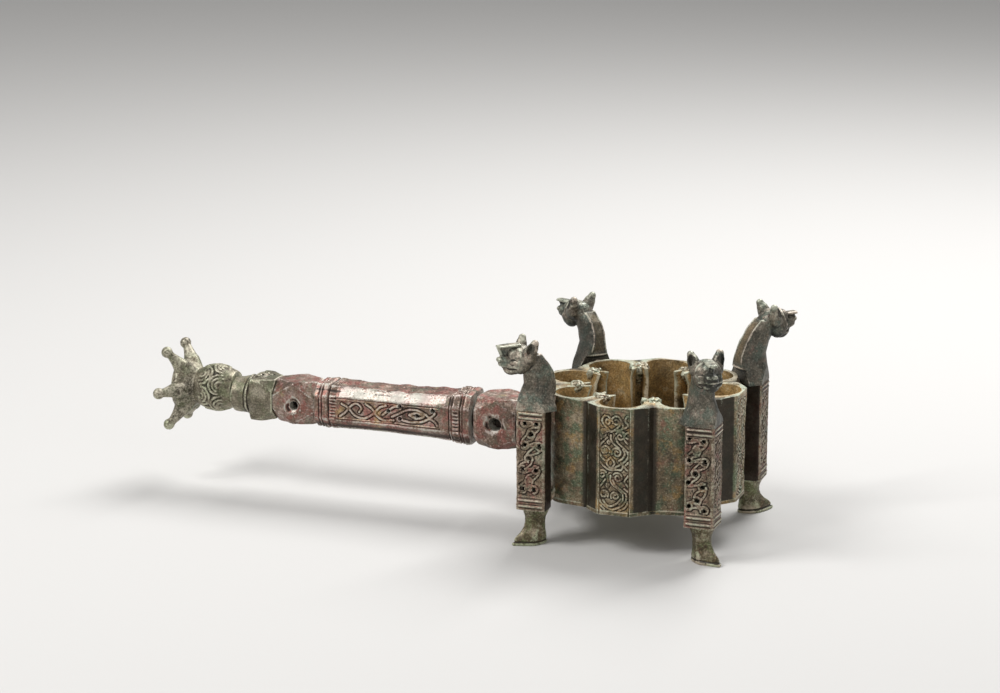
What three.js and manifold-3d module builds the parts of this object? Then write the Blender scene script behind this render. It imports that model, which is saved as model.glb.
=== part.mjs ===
// Long-handled incense burner of cast bronze: an eight-lobed open bowl on four hollow square legs,
// each leg topped by a feline head and standing on a booted foot, with a hollow faceted handle that
// ends in a ribbed ball and a coronet of six prongs. Millimetres, Z up, the handle runs along -X.

import * as THREE from "three";
import { mergeVertices } from "three/addons/utils/BufferGeometryUtils.js";
import Module from "manifold-3d";

const wasm = await Module();
wasm.setup();

// Driving dimensions

const JOINT_GAP = 0.3; // clearance left between two pieces that touch

const LOBES = 8;
const LOBE_RING = 37; // bowl centre to lobe centre
const LOBE_INNER = 10.7; // inside radius of a lobe
const LOBE_WALL = 2;
const LOBE_MOUTH = 143; // degrees from straight outward to a wall's tip
const WEB_INNER = 35.8; // where neighbouring walls meet, from the bowl centre
const NOTCH = 44; // where they part again on the outside
const PANEL_REACH = 48.9; // bowl centre to the flat decorated panel
const PANEL_HALF = 8.15;
const ROUND_FRONT = 55; // degrees of plain round wall each side of a leg lobe's middle
const RIM_TOP = 73.9;
const BOWL_BOTTOM = 19.6;
const FLOOR_THICKNESS = 2.2;

const LEG_SPREAD = 42; // leg axis from the bowl centre, along X and along Y
const BOX_SIDE = 14.8;
const BOX_WALL = 1.6;
const BOX_BOTTOM = 18.2;
const BOX_TOP = 67.8;
const BOX_CUT_FACE = 6.9; // leg axis to the flat that replaces the corner towards the bowl
const BAND_PROUD = 0.45;
const BANDS = [
  [1.6, 3.0],
  [5.4, 6.6],
  [45.4, 46.6],
  [47.8, 49.0],
]; // lowest and highest edge of each raised band, above the bottom of the box
const PIERCING = 1.0; // radius of a pierced hole
const PIERCINGS = [
  [-4.4, 44],
  [2.4, 43.2],
  [-4.1, 33.3],
  [3.2, 32.8],
  [-1.5, 26.8],
  [-4.7, 21.8],
  [2.1, 20.4],
  [-3.8, 10.8],
  [2.8, 9.6],
]; // across the face, and above the bottom of the box
const PIERCE_INSIDE = 2.5; // a hole's cutter starts this far inside the face
const PIERCE_OUTSIDE = 2;
const TENON = 7; // depth of the neck and ankle plugs inside the box

const HANDLE_LEVEL = 48.0;
const HANDLE_BORE = 7.8;
const BALL_RISE = 2.0; // the ball and coronet sit a little above the shaft's axis

const bronze = { roughness: 0.45, metalness: 0.85 };
const FINISHES = {
  bowl: { color: 0x6d6758, ...bronze },
  inside: { color: 0x8a734b, ...bronze },
  leg: { color: 0x75635a, ...bronze },
  head: { color: 0x6f756a, ...bronze },
  foot: { color: 0x726850, ...bronze },
  handle: { color: 0x7c5d55, ...bronze },
  finial: { color: 0x8a8a72, ...bronze },
};

// Geometry helpers

const radians = THREE.MathUtils.degToRad;

function solid(geometry) {
  const bare = geometry.clone();
  bare.deleteAttribute("normal");
  bare.deleteAttribute("uv");
  const merged = mergeVertices(bare, 1e-4);
  return new wasm.Manifold(
    new wasm.Mesh({
      numProp: 3,
      vertProperties: merged.attributes.position.array,
      triVerts: new Uint32Array(merged.index.array),
    }),
  );
}

function geometryOf(body) {
  const { vertProperties, triVerts } = body.getMesh();
  return new THREE.BufferGeometry()
    .setAttribute("position", new THREE.BufferAttribute(vertProperties, 3))
    .setIndex(new THREE.BufferAttribute(triVerts, 1));
}

function union(first, ...rest) {
  return rest.reduce((body, next) => body.add(next), first);
}

// A closed outline in plan, [x, y] points counter-clockwise, raised from one level to another.
function prism(outline, bottom, top) {
  const shape = new THREE.Shape(outline.map(([x, y]) => new THREE.Vector2(x, y)));
  const raised = new THREE.ExtrudeGeometry(shape, { depth: top - bottom, bevelEnabled: false });
  return raised.translate(0, 0, bottom);
}

// Rings of equal point counts joined in order, with flat ends.
function loft(rings) {
  const count = rings[0].length;
  const ends = [rings[0], rings.at(-1)].map((ring) =>
    ring.reduce((sum, p) => sum.add(p), new THREE.Vector3()).divideScalar(count),
  );
  const points = [...rings.flat(), ...ends];
  const firstHub = points.length - 2;
  const faces = [];
  for (let i = 0; i < count; i++) {
    const j = (i + 1) % count;
    for (let r = 0; r + 1 < rings.length; r++) {
      const a = r * count;
      const b = a + count;
      faces.push(a + i, a + j, b + j, a + i, b + j, b + i);
    }
    const last = (rings.length - 1) * count;
    faces.push(firstHub, j, i, firstHub + 1, last + i, last + j);
  }
  return new THREE.BufferGeometry().setFromPoints(points).setIndex(faces);
}

// A level oval ring of points.
function ring(centre, halfX, halfY, count) {
  return Array.from({ length: count }, (_, i) => {
    const t = (2 * Math.PI * (i + 0.5)) / count;
    return new THREE.Vector3(halfX * Math.cos(t), halfY * Math.sin(t), 0).add(centre);
  });
}

function ellipsoid(centre, radii, around = 12, down = 8) {
  return new THREE.SphereGeometry(1, around, down).scale(...radii).translate(...centre);
}

// A straight round bar between two points.
function bar(from, to, radiusFrom, radiusTo, sides = 6) {
  const start = new THREE.Vector3(...from);
  const along = new THREE.Vector3(...to).sub(start);
  const turn = new THREE.Quaternion().setFromUnitVectors(
    new THREE.Vector3(0, 1, 0),
    along.clone().normalize(),
  );
  return new THREE.CylinderGeometry(radiusTo, radiusFrom, along.length(), sides)
    .translate(0, along.length() / 2, 0)
    .applyQuaternion(turn)
    .translate(...from);
}

const parts = new THREE.Group();

function piece(name, geometry, finish, parent = parts) {
  const mesh = new THREE.Mesh(geometry, new THREE.MeshStandardMaterial(FINISHES[finish]));
  mesh.name = name;
  parent.add(mesh);
  return mesh;
}

// Bowl: eight C-shaped lobe walls side by side on a floor plate

const SEAM = Math.PI / LOBES; // half the angle that a lobe takes up

// A point on the seam between two lobes, at a radius, moved back from the seam by a clearance.
function seamPoint(radius, clearance) {
  return [
    radius * Math.cos(SEAM) + clearance * Math.sin(SEAM),
    radius * Math.sin(SEAM) - clearance * Math.cos(SEAM),
  ];
}

function lobePoint(radius, degrees) {
  const angle = radians(degrees);
  return [LOBE_RING + radius * Math.cos(angle), radius * Math.sin(angle)];
}

function lobeArc(radius, from, to, steps) {
  return Array.from({ length: steps + 1 }, (_, i) => lobePoint(radius, from + ((to - from) * i) / steps));
}

// The outside of half a lobe, from its middle round to the seam.
function outerHalf(decorated, clearance) {
  const front = decorated
    ? [[PANEL_REACH, PANEL_HALF]]
    : lobeArc(LOBE_INNER + LOBE_WALL, 0, ROUND_FRONT, 4);
  return [...front, seamPoint(NOTCH, clearance)];
}

function innerHalf(clearance) {
  const outside = LOBE_INNER + LOBE_WALL;
  return [
    seamPoint(WEB_INNER, clearance),
    ...lobeArc(outside, 106, 132, 3),
    lobePoint(LOBE_INNER + LOBE_WALL / 2, LOBE_MOUTH),
    ...lobeArc(LOBE_INNER, 136, 0, 11),
  ];
}

function mirrored(points) {
  return points
    .filter(([, y]) => Math.abs(y) > 1e-6)
    .map(([x, y]) => [x, -y])
    .reverse();
}

function lobeWall(decorated) {
  const half = [...outerHalf(decorated, JOINT_GAP / 2), ...innerHalf(JOINT_GAP / 2)];
  return prism([...half, ...mirrored(half)], BOWL_BOTTOM + FLOOR_THICKNESS + JOINT_GAP, RIM_TOP);
}

const LOBE_NAMES = [
  "lobe_wall_right",
  "lobe_wall_back_right",
  "lobe_wall_back",
  "lobe_wall_back_left",
  "lobe_wall_handle",
  "lobe_wall_front_left",
  "lobe_wall_front",
  "lobe_wall_front_right",
];
LOBE_NAMES.forEach((name, i) => {
  piece(name, lobeWall(i % 2 === 0), "bowl").rotation.z = (2 * Math.PI * i) / LOBES;
});

function turned([x, y], angle) {
  return [x * Math.cos(angle) - y * Math.sin(angle), x * Math.sin(angle) + y * Math.cos(angle)];
}

const floorOutline = LOBE_NAMES.flatMap((_, i) => {
  const half = outerHalf(i % 2 === 0, 0);
  const both = [...mirrored(half).slice(1), ...half];
  return both.map((point) => turned(point, (2 * Math.PI * i) / LOBES));
});
piece("floor_plate", prism(floorOutline, BOWL_BOTTOM, BOWL_BOTTOM + FLOOR_THICKNESS), "inside");

// Legs: each is built with its own X pointing away from the bowl, and turned into its corner

const LEG_REACH = LEG_SPREAD * Math.SQRT2;
const CORNER = BOX_SIDE / Math.SQRT2; // leg axis to a corner of the box

// The box in plan, grown or shrunk: a square on its corner, the corner towards the bowl cut flat.
function boxOutline(grow, cutFace = BOX_CUT_FACE) {
  const corner = CORNER + grow * Math.SQRT2;
  const cut = corner - cutFace;
  return [
    [corner, 0],
    [0, corner],
    [-cutFace, cut],
    [-cutFace, -cut],
    [0, -corner],
  ];
}

function innerOutline(clearance) {
  return boxOutline(-BOX_WALL - clearance, BOX_CUT_FACE - BOX_WALL - clearance);
}

function legBox() {
  let body = solid(prism(boxOutline(0), BOX_BOTTOM, BOX_TOP));
  for (const [bottom, top] of BANDS)
    body = body.add(solid(prism(boxOutline(BAND_PROUD), BOX_BOTTOM + bottom, BOX_BOTTOM + top)));
  body = body.subtract(solid(prism(innerOutline(0), BOX_BOTTOM - 1, BOX_TOP + 1)));
  const face = BOX_SIDE / 2;
  for (const side of [-1, 1])
    for (const [across, up] of PIERCINGS) {
      const level = BOX_BOTTOM + up;
      const hole = bar(
        [face - PIERCE_INSIDE, -side * across, level],
        [face + PIERCE_OUTSIDE, -side * across, level],
        PIERCING,
        PIERCING,
      );
      body = body.subtract(solid(hole.rotateZ(side * radians(45))));
    }
  return geometryOf(body);
}

// Sections of the neck: height above the box, outward offset of its middle, half depth and half width.
const NECK = [
  [JOINT_GAP, 0.0, 9.4, 9.4],
  [1.8, 0.4, 9.2, 9.2],
  [4.0, 0.4, 8.9, 7.6],
  [7.9, -0.6, 8.2, 6.1],
  [12.4, -1.3, 7.4, 5.2],
  [17.4, -0.4, 7.3, 4.9],
  [22.4, 2.0, 6.8, 5.0],
  [26.9, 5.0, 5.6, 4.8],
];
const NECK_SIDES = 10;
const PLINTH = 1.6; // height of the square foot of the neck
const NECK_BEND = 3; // height where the pose of a head starts to grow
const RIM_CLEARANCE = 0.6; // a neck keeps this far above the rim of the lobe beside it
const CUT_REACH = 20; // longer than anything that is cut
const SKULL = { centre: [7.6, 0, 26.0], radii: [8.0, 7.0, 7.0] };
const MUZZLE = { centre: [14.6, 0, 23.8], radii: [6.6, 5.8, 5.0] };
const NOSE = { from: [8, 0, 29.4], to: [20.0, 0, 30.4], thick: 3.2, thin: 2.2 };
const EAR = { from: [5.4, 4.6, 28], to: [5.4, 7.4, 34.8], thick: 3.4, thin: 1.3 };

// Lean pushes the head outward, lift raises it and turn swings its face, all growing up the neck.
// Brow lowers or raises the nose ridge alone.
function felineHead({ lean, lift, turn, brow }) {
  const crown = NECK.at(-1)[0];
  const up = new THREE.Vector3(0, 0, 1);
  const posed = (geometry) => {
    const place = geometry.attributes.position;
    const point = new THREE.Vector3();
    for (let i = 0; i < place.count; i++) {
      point.fromBufferAttribute(place, i);
      const share = THREE.MathUtils.smoothstep(point.z, NECK_BEND, crown);
      point.applyAxisAngle(up, radians(turn) * share);
      place.setXYZ(i, point.x + lean * share, point.y, point.z + lift * share);
    }
    return solid(geometry.translate(0, 0, BOX_TOP));
  };
  const sections = NECK.map(([height, middle, depth, width]) =>
    ring(new THREE.Vector3(middle, 0, height), depth, width, NECK_SIDES),
  );
  const plug = prism(innerOutline(JOINT_GAP), BOX_TOP - TENON, BOX_TOP + 1);
  const plinth = prism(boxOutline(-0.2), BOX_TOP + JOINT_GAP, BOX_TOP + PLINTH);
  const besideBowl = prism(
    [
      [-CUT_REACH, -CUT_REACH],
      [-BOX_CUT_FACE, -CUT_REACH],
      [-BOX_CUT_FACE, CUT_REACH],
      [-CUT_REACH, CUT_REACH],
    ],
    BOX_TOP,
    RIM_TOP + RIM_CLEARANCE,
  );
  const ear = (side) => {
    const [[x0, y0, z0], [x1, y1, z1]] = [EAR.from, EAR.to];
    return posed(bar([x0, side * y0, z0], [x1, side * y1, z1], EAR.thick, EAR.thin, 7));
  };
  const raised = ([x, y, z]) => [x, y, z + brow];
  return geometryOf(
    union(
      posed(loft(sections)),
      solid(plug),
      solid(plinth),
      posed(ellipsoid(SKULL.centre, SKULL.radii)),
      posed(ellipsoid(MUZZLE.centre, MUZZLE.radii, 10, 6)),
      posed(bar(raised(NOSE.from), raised(NOSE.to), NOSE.thick, NOSE.thin, 7)),
      ear(-1),
      ear(1),
    ).subtract(solid(besideBowl)),
  );
}

// Side view of foot and ankle: outward offset and level, from the heel along the sole.
const FOOT_SIDE = [
  [-5.6, 0],
  [9.8, 0],
  [12.9, 0.8],
  [12.9, 2.8],
  [8.8, 5.4],
  [6.0, 8.6],
  [5.0, 12.4],
  [6.6, BOX_BOTTOM - JOINT_GAP],
  [-7.4, BOX_BOTTOM - JOINT_GAP],
  [-5.4, 13.4],
  [-5.2, 7.0],
  [-6.0, 2.4],
];
// Plan of the foot on one side, from toe to heel.
const FOOT_PLAN = [
  [13.2, 0],
  [11.2, 2.2],
  [6.0, 4.3],
  [0, 4.6],
  [-4.6, 4.0],
  [-8.0, 2.0],
];

// Reach stretches the foot forward of the ankle, and turn swings it about the leg.
function foot({ reach, turn }) {
  const stretched = (points) => points.map(([x, y]) => [x > 0 ? x * reach : x, y]);
  const side = prism(stretched(FOOT_SIDE), -CUT_REACH, CUT_REACH).rotateX(radians(90));
  const plan = stretched([...FOOT_PLAN, ...mirrored(FOOT_PLAN)]);
  const shoe = solid(side.rotateZ(radians(turn))).intersect(
    solid(prism(plan, -1, BOX_BOTTOM + 1).rotateZ(radians(turn))),
  );
  return geometryOf(shoe.add(solid(prism(innerOutline(JOINT_GAP), BOX_BOTTOM - 1, BOX_BOTTOM + TENON))));
}

// A web between the lobe wall and the cut corner of the box: outward offset and level of its side view.
const LOBE_FACE = LOBE_RING + LOBE_INNER + LOBE_WALL + JOINT_GAP - LEG_REACH;
const BOX_FACE = -BOX_CUT_FACE - JOINT_GAP;
const WEB_HALF = 2.2;
const UPPER_WEB = [
  [LOBE_FACE, RIM_TOP - 15.7],
  [BOX_FACE, BOX_TOP - 6.6],
  [BOX_FACE, BOX_TOP - 0.4],
  [LOBE_FACE, RIM_TOP],
];
const LOWER_WEB = [
  [LOBE_FACE, BOWL_BOTTOM + 3],
  [BOX_FACE, BOX_BOTTOM + 1.2],
  [BOX_FACE, BOX_BOTTOM + 6],
  [LOBE_FACE, BOWL_BOTTOM + 8],
];

function web(sideView) {
  return prism(sideView, -WEB_HALF, WEB_HALF).rotateX(radians(90));
}

// The four legs are alike but not the same, as hand-finished castings are.
const LEGS = [
  {
    corner: "front_left",
    angle: 225,
    head: { lean: -0.6, lift: 0, turn: 0, brow: 0 },
    shoe: { reach: 0.95, turn: 0 },
  },
  {
    corner: "front_right",
    angle: 315,
    head: { lean: 0, lift: 1.8, turn: -16, brow: -1.5 },
    shoe: { reach: 1, turn: 15 },
  },
  {
    corner: "back_right",
    angle: 45,
    head: { lean: 3.8, lift: 3.8, turn: 0, brow: -3.6 },
    shoe: { reach: 1.08, turn: 0 },
  },
  {
    corner: "back_left",
    angle: 135,
    head: { lean: 1.5, lift: 0.6, turn: 21, brow: -2 },
    shoe: { reach: 1, turn: 0 },
  },
];
for (const { corner, angle, head, shoe } of LEGS) {
  const leg = new THREE.Group();
  leg.rotation.z = radians(angle);
  const stand = new THREE.Group();
  stand.position.x = LEG_REACH;
  leg.add(stand);
  parts.add(leg);
  piece(`leg_box_${corner}`, legBox(), "leg", stand);
  piece(`feline_head_${corner}`, felineHead(head), "head", stand);
  piece(`foot_${corner}`, foot(shoe), "foot", stand);
  piece(`upper_web_${corner}`, web(UPPER_WEB), "leg", stand);
  piece(`lower_web_${corner}`, web(LOWER_WEB), "leg", stand);
}

// Handle: hollow faceted sections threaded end to end on short spigots

const handle = new THREE.Group();
handle.position.z = HANDLE_LEVEL;
parts.add(handle);

// An eight-sided section across the handle: half its size, and half the width of its front and top facets.
function octagon(x, half, front, top = front) {
  const corners = [
    [half, -front],
    [half, front],
    [top, half],
    [-top, half],
    [-half, front],
    [-half, -front],
    [-top, -half],
    [top, -half],
  ];
  return corners.map(([y, z]) => new THREE.Vector3(x, y, z));
}

function faceted(sections) {
  return solid(loft(sections.map((section) => octagon(...section))));
}

// A turned length along the handle: [x, radius] pairs from the coronet end towards the bowl.
function turnedLength(profile, sides = 20) {
  const outline = profile.map(([x, radius]) => new THREE.Vector2(radius, x));
  return solid(new THREE.LatheGeometry(outline, sides).rotateZ(radians(-90)));
}

function plain(from, to, radius, sides = 16) {
  return solid(bar([from, 0, 0], [to, 0, 0], radius, radius, sides));
}

// A hole right through the handle from front to back.
function crossHole(x, z, radius, sides = 8) {
  return solid(bar([x, -CUT_REACH, z], [x, CUT_REACH, z], radius, radius, sides));
}

const SPIGOT = HANDLE_BORE - JOINT_GAP;
const SPIGOT_LENGTH = 6;
const SPIGOT_BORE = 5.2;

const SOCKET_END = -62.6;
const NEAR_KNOB = { from: -85.0, to: -62.9, half: 12.4, edge: 6.4, hole: 3.4, drop: 0 };
const SHAFT = { from: -170.8, to: -87.2 };
const FAR_KNOB = { from: -194.3, to: -171.1, half: 10.9, edge: 3.2, hole: 2.9, drop: 1 };
const COLLAR = { from: -218.4, to: -194.6 };
const BALL = { from: -239.4, to: -218.7 };
const HUB_START = -239.7;

// The socket's foot is hollowed to the shape of the lobe wall that it sits on.
const lobeOutside = outerHalf(true, 0).map(([x, y]) => [x + JOINT_GAP, y]);
const lobeBlock = solid(
  prism([...lobeOutside, [0, 0], ...mirrored(lobeOutside)], -CUT_REACH, CUT_REACH).rotateZ(Math.PI),
);
const socket = turnedLength([
  [SOCKET_END, 0],
  [SOCKET_END, 11.6],
  [-60, 11.2],
  [-55, 10.6],
  [-51.5, 11.6],
  [-45, 13],
  [-45, 0],
])
  .subtract(lobeBlock)
  .subtract(plain(SOCKET_END - 1, SOCKET_END + SPIGOT_LENGTH + 1, HANDLE_BORE));
piece("handle_socket", geometryOf(socket), "handle", handle);

function knob({ from, to, half, edge, hole, drop }, spigotBack, spigotAhead) {
  const middle = (from + to) / 2;
  return faceted([
    [from, half, edge],
    [middle, half, half - 0.3],
    [to, half, edge],
  ])
    .add(plain(from - spigotBack, to + spigotAhead, SPIGOT))
    .subtract(plain(from - spigotBack - 1, to + spigotAhead + 1, SPIGOT_BORE, 12))
    .subtract(crossHole(middle, -drop, hole));
}

const nearKnob = knob(NEAR_KNOB, NEAR_KNOB.from - SHAFT.to + SPIGOT_LENGTH, SPIGOT_LENGTH);
piece("near_knob", geometryOf(nearKnob), "handle", handle);
piece("far_knob", geometryOf(knob(FAR_KNOB, SPIGOT_LENGTH, SPIGOT_LENGTH)), "handle", handle);

let shaft = faceted([
  [SHAFT.from, 11.2, 5.6, 6.6],
  [-164.4, 11.6, 6.0, 7.2],
  [-163.6, 11.2, 6.0, 7.2],
  [-157, 10.9, 6.1, 7.4],
  [-130, 10.7, 6.2, 7.4],
  [-106, 11.3, 6.4, 7.6],
  [-98.2, 11.7, 6.4, 7.8],
  [-97.4, 12.3, 6.5, 8.0],
  [-89.4, 13.0, 6.6, 8.4],
  [SHAFT.to, 12.6, 6.4, 8.2],
]).subtract(plain(SHAFT.from - 1, SHAFT.to + 1, HANDLE_BORE));
const SHAFT_PIERCINGS = [
  [-130.8, 1.4],
  [-124.6, 4.2],
  [-124.7, -2.2],
  [-115.3, 0.4],
  [-106.9, 3.8],
];
for (const [x, z] of SHAFT_PIERCINGS) shaft = shaft.subtract(crossHole(x, z, 1.2, 6));
piece("handle_shaft", geometryOf(shaft), "handle", handle);

// Square capital that narrows to a round waist below the ball.
const collar = faceted([
  [-207.6, 9.6, 7.2],
  [-206.6, 10.6, 10.2],
  [-201, 10.7, 9.6],
  [COLLAR.to, 10.4, 5.0],
])
  .add(
    turnedLength([
      [COLLAR.from, 0],
      [COLLAR.from, 8.9],
      [-214, 9.2],
      [-209.4, 10.2],
      [-206.8, 10.2],
      [-206.8, 0],
    ]),
  )
  .subtract(plain(COLLAR.from - 1, COLLAR.to + 1, HANDLE_BORE));
piece("square_collar", geometryOf(collar), "handle", handle);

const tip = new THREE.Group();
tip.position.z = BALL_RISE;
handle.add(tip);

const BALL_RIBS = 16;
const BALL_RADIUS = 12.1;
const BALL_NECK = 8.8;
const RIB_DEPTH = 1;
const BALL_STEPS = 8;
const BALL_FULLNESS = 0.8; // below 1, the ball swells quickly from its necks
const BALL_BORE = 3.5; // through the spigot that enters the collar
const BALL_BACK = 4; // metal left between the two bores
const CORONET_SPIGOT = 4.2;
const ballRings = Array.from({ length: BALL_STEPS + 1 }, (_, i) => {
  const share = i / BALL_STEPS;
  const bulge = Math.sin(Math.PI * share) ** BALL_FULLNESS;
  const radius = BALL_NECK + (BALL_RADIUS - BALL_NECK) * bulge;
  const x = BALL.from + (BALL.to - BALL.from) * share;
  return Array.from({ length: BALL_RIBS * 2 }, (__, k) => {
    const angle = (Math.PI * k) / BALL_RIBS;
    const r = radius - (k % 2) * RIB_DEPTH * bulge;
    return new THREE.Vector3(x, r * Math.cos(angle), r * Math.sin(angle));
  });
});
const ball = solid(loft(ballRings))
  .add(plain(BALL.to - 1, BALL.to + SPIGOT_LENGTH, SPIGOT - BALL_RISE, 12))
  .subtract(plain(BALL.from - 1, BALL.to - BALL_BACK, CORONET_SPIGOT + JOINT_GAP, 12))
  .subtract(plain(BALL.to - BALL_BACK - 1, BALL.to + SPIGOT_LENGTH + 1, BALL_BORE, 12));
piece("ribbed_ball", geometryOf(ball), "finial", tip);

// Coronet: a flared hub whose rim breaks into six outward-curling prongs with round ends.
const PRONGS = 6;
const PRONG_LINE = [
  [-243.5, 6.5, 4.2],
  [-246.2, 12.5, 3.4],
  [-248.6, 17.0, 2.5],
  [-251.6, 21.0, 2.0],
]; // along the handle, away from its axis, half thickness
const PRONG_END = [-252.6, 22, 3.0];

let coronet = turnedLength([
  [-249.5, 0],
  [-249.5, 6.5],
  [-248.2, 10.8],
  [-245.6, 11.4],
  [-242.6, 9.8],
  [HUB_START, 9.0],
  [HUB_START, 0],
]);
for (let i = 0; i < PRONGS; i++) {
  const around = (2 * Math.PI * (i + 0.5)) / PRONGS;
  const stem = loft(
    PRONG_LINE.map(([x, r, half]) =>
      ring(new THREE.Vector3(0, 0, 0), half, half, 8).map((p) => new THREE.Vector3(x + p.x, p.y, r)),
    ),
  );
  const [x, r, radius] = PRONG_END;
  const prong = solid(stem.rotateX(around)).add(
    solid(ellipsoid([x, 0, r], [radius, radius, radius], 8, 6).rotateX(around)),
  );
  coronet = coronet.add(prong);
}
coronet = coronet.add(plain(HUB_START - 1, HUB_START + SPIGOT_LENGTH, CORONET_SPIGOT, 12));
piece("coronet_finial", geometryOf(coronet), "finial", tip);

// The origin is under the middle of the whole object, on the surface that it stands on.
const bounds = new THREE.Box3().setFromObject(parts, true);
parts.position.set(-(bounds.min.x + bounds.max.x) / 2, -(bounds.min.y + bounds.max.y) / 2, -bounds.min.z);

const burner = new THREE.Group();
burner.add(parts);

export default burner;
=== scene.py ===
import math

import bmesh
import bpy
import numpy as np
from bpy.props import FloatProperty, FloatVectorProperty, PointerProperty
from mathutils import Matrix, Vector


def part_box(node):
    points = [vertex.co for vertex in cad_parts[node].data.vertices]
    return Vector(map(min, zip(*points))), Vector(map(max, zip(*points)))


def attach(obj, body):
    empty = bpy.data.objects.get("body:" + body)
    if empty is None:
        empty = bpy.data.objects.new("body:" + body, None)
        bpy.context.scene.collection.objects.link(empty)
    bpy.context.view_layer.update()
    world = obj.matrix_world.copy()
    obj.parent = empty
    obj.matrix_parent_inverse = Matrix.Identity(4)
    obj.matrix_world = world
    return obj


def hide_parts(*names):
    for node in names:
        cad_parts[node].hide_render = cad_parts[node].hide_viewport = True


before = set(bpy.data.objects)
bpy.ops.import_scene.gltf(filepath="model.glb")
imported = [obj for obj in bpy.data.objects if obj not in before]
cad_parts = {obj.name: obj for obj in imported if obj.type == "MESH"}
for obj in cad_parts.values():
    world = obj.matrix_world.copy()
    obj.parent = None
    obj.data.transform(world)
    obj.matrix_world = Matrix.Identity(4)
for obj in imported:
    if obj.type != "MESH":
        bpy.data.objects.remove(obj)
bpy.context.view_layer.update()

bl_info = {
    "name": "Long-handled incense burner",
    "version": (1, 0, 0),
    "blender": (4, 5, 0),
    "location": "3D View > Sidebar > Burner",
    "description": "Cast bronze incense burner with eight lobes, four feline legs and a faceted handle",
    "category": "Add Mesh",
}

# Sizes are in millimetres, and each finished mesh is brought to metres once

MM = 0.001
FLOOR_LOW, FLOOR_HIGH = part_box("floor_plate")
BOWL = Vector(((FLOOR_LOW.x + FLOOR_HIGH.x) / 2 / MM, (FLOOR_LOW.y + FLOOR_HIGH.y) / 2 / MM, 0))

LOBES = 8
LOBE_RING = 37.0
LOBE_INNER = 10.7
LOBE_OUTER = 12.7
WEB_INNER = 35.8
NOTCH = 44.0
PANEL_REACH = 48.9
PANEL_HALF = 8.15
RIM_TOP = 73.9
BOWL_BOTTOM = 19.6
FLOOR_TOP = 21.8
SEAM = math.pi / LOBES
LOBE_TURN = 2 * SEAM
RIM_ROUND = 0.6
FLOOR_ROUND = 0.5
CUSP_RING = 33.2
MIRRORED_PANELS = (0, 4)

LEG_REACH = 42 * math.sqrt(2)
BOX_SIDE = 14.8
BOX_WALL = 1.6
BOX_BOTTOM = 18.2
BOX_TOP = 67.8
BOX_CUT_FACE = 6.9
BANDS = [(1.5, 2.4), (4.5, 5.4), (45.5, 46.3), (47.8, 48.6)]
BAND_RISE = 0.45
BOX_STEP = 0.27

HANDLE_LEVEL = 48.0
BALL_RISE = 2.0
SHARP_ANGLE = math.radians(40)

LOBE_NODES = [
    "lobe_wall_right",
    "lobe_wall_back_right",
    "lobe_wall_back",
    "lobe_wall_back_left",
    "lobe_wall_handle",
    "lobe_wall_front_left",
    "lobe_wall_front",
    "lobe_wall_front_right",
]


def table(traits, rows):
    """Rows of values given as dictionaries by the names of their traits."""
    return {name: dict(zip(traits, values)) for name, values in rows.items()}


# Each leg: its angle round the bowl, how its head leans, lifts and turns, how far its brow is raised and its
# head set aside, how its shoe reaches and splays, how much painted shade darkens its snout and flank, and
# how much painted shade darkens all of it
LEGS = table(
    ("angle", "lean", "lift", "turn", "brow", "side", "reach", "splay", "snout", "shade"), {
        "front_left": (225, -0.6, 0.0, 0, 0.0, 0.0, 0.95, 0, 0, 0.0),
        "front_right": (315, 0.0, 1.8, -16, -0.9, -1.1, 1.0, 15, 0.42, 0.18),
        "back_right": (45, 3.8, 3.8, 0, -3.6, 0.0, 1.08, 0, 0, 0.2),
        "back_left": (135, 1.5, 0.6, 21, -2.0, 0.0, 1.0, 0, 0, 0.28),
    },
)


# Shaping helpers

def smoothstep(value, low, high):
    share = np.clip((value - low) / (high - low), 0, 1)
    return share * share * (3 - 2 * share)


def between(value, low, high, soft, soft_end=None):
    """A share that grows over soft above low, and fades over soft_end, or soft again, below high."""
    return smoothstep(value, low, low + soft) * smoothstep(high - value, 0, soft_end or soft)


def bell(value, middle, width):
    """A share that is 1 at the middle and nearly gone two widths away."""
    return np.exp(-(((value - middle) / width) ** 2))


def unit(ways):
    return ways / np.linalg.norm(ways, axis=-1, keepdims=True)


def turned(co, angle):
    """Places turned about the upright axis, by one angle or by an angle for each."""
    result = co.copy()
    result[:, 0] = co[:, 0] * np.cos(angle) - co[:, 1] * np.sin(angle)
    result[:, 1] = co[:, 0] * np.sin(angle) + co[:, 1] * np.cos(angle)
    return result


def read_off(rows, at, *columns):
    """Columns of a table read off between its rows, at places along its first column."""
    values = np.array(rows, float)
    return [np.interp(at, values[:, 0], values[:, k]) for k in columns]


def ripple(places, size, seed, waves=9):
    """Soft unevenness, mostly within 1 either way, whose bumps are about size across."""
    chance = np.random.default_rng(seed)
    total = np.zeros(len(places))
    for _ in range(waves):
        way = chance.normal(size=3)
        way /= np.linalg.norm(way)
        length = size * chance.uniform(1.2, 2.6)
        total += np.sin(places @ way * (2 * math.pi / length) + chance.uniform(0, 2 * math.pi))
    return total / math.sqrt(waves)


def through(points, steps=6):
    """A smooth line through the points."""
    fixed = np.array(points, float)
    padded = np.vstack([2 * fixed[0] - fixed[1], fixed, 2 * fixed[-1] - fixed[-2]])
    t = np.linspace(0, 1, steps, endpoint=False)[:, None]
    stretches = []
    for a, b, c, d in zip(padded, padded[1:], padded[2:], padded[3:]):
        bend = 2 * a - 5 * b + 4 * c - d
        stretches.append(0.5 * (2 * b + (c - a) * t + bend * t**2 + (3 * b - a - 3 * c + d) * t**3))
    return np.vstack(stretches + [fixed[-1:]])


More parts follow.
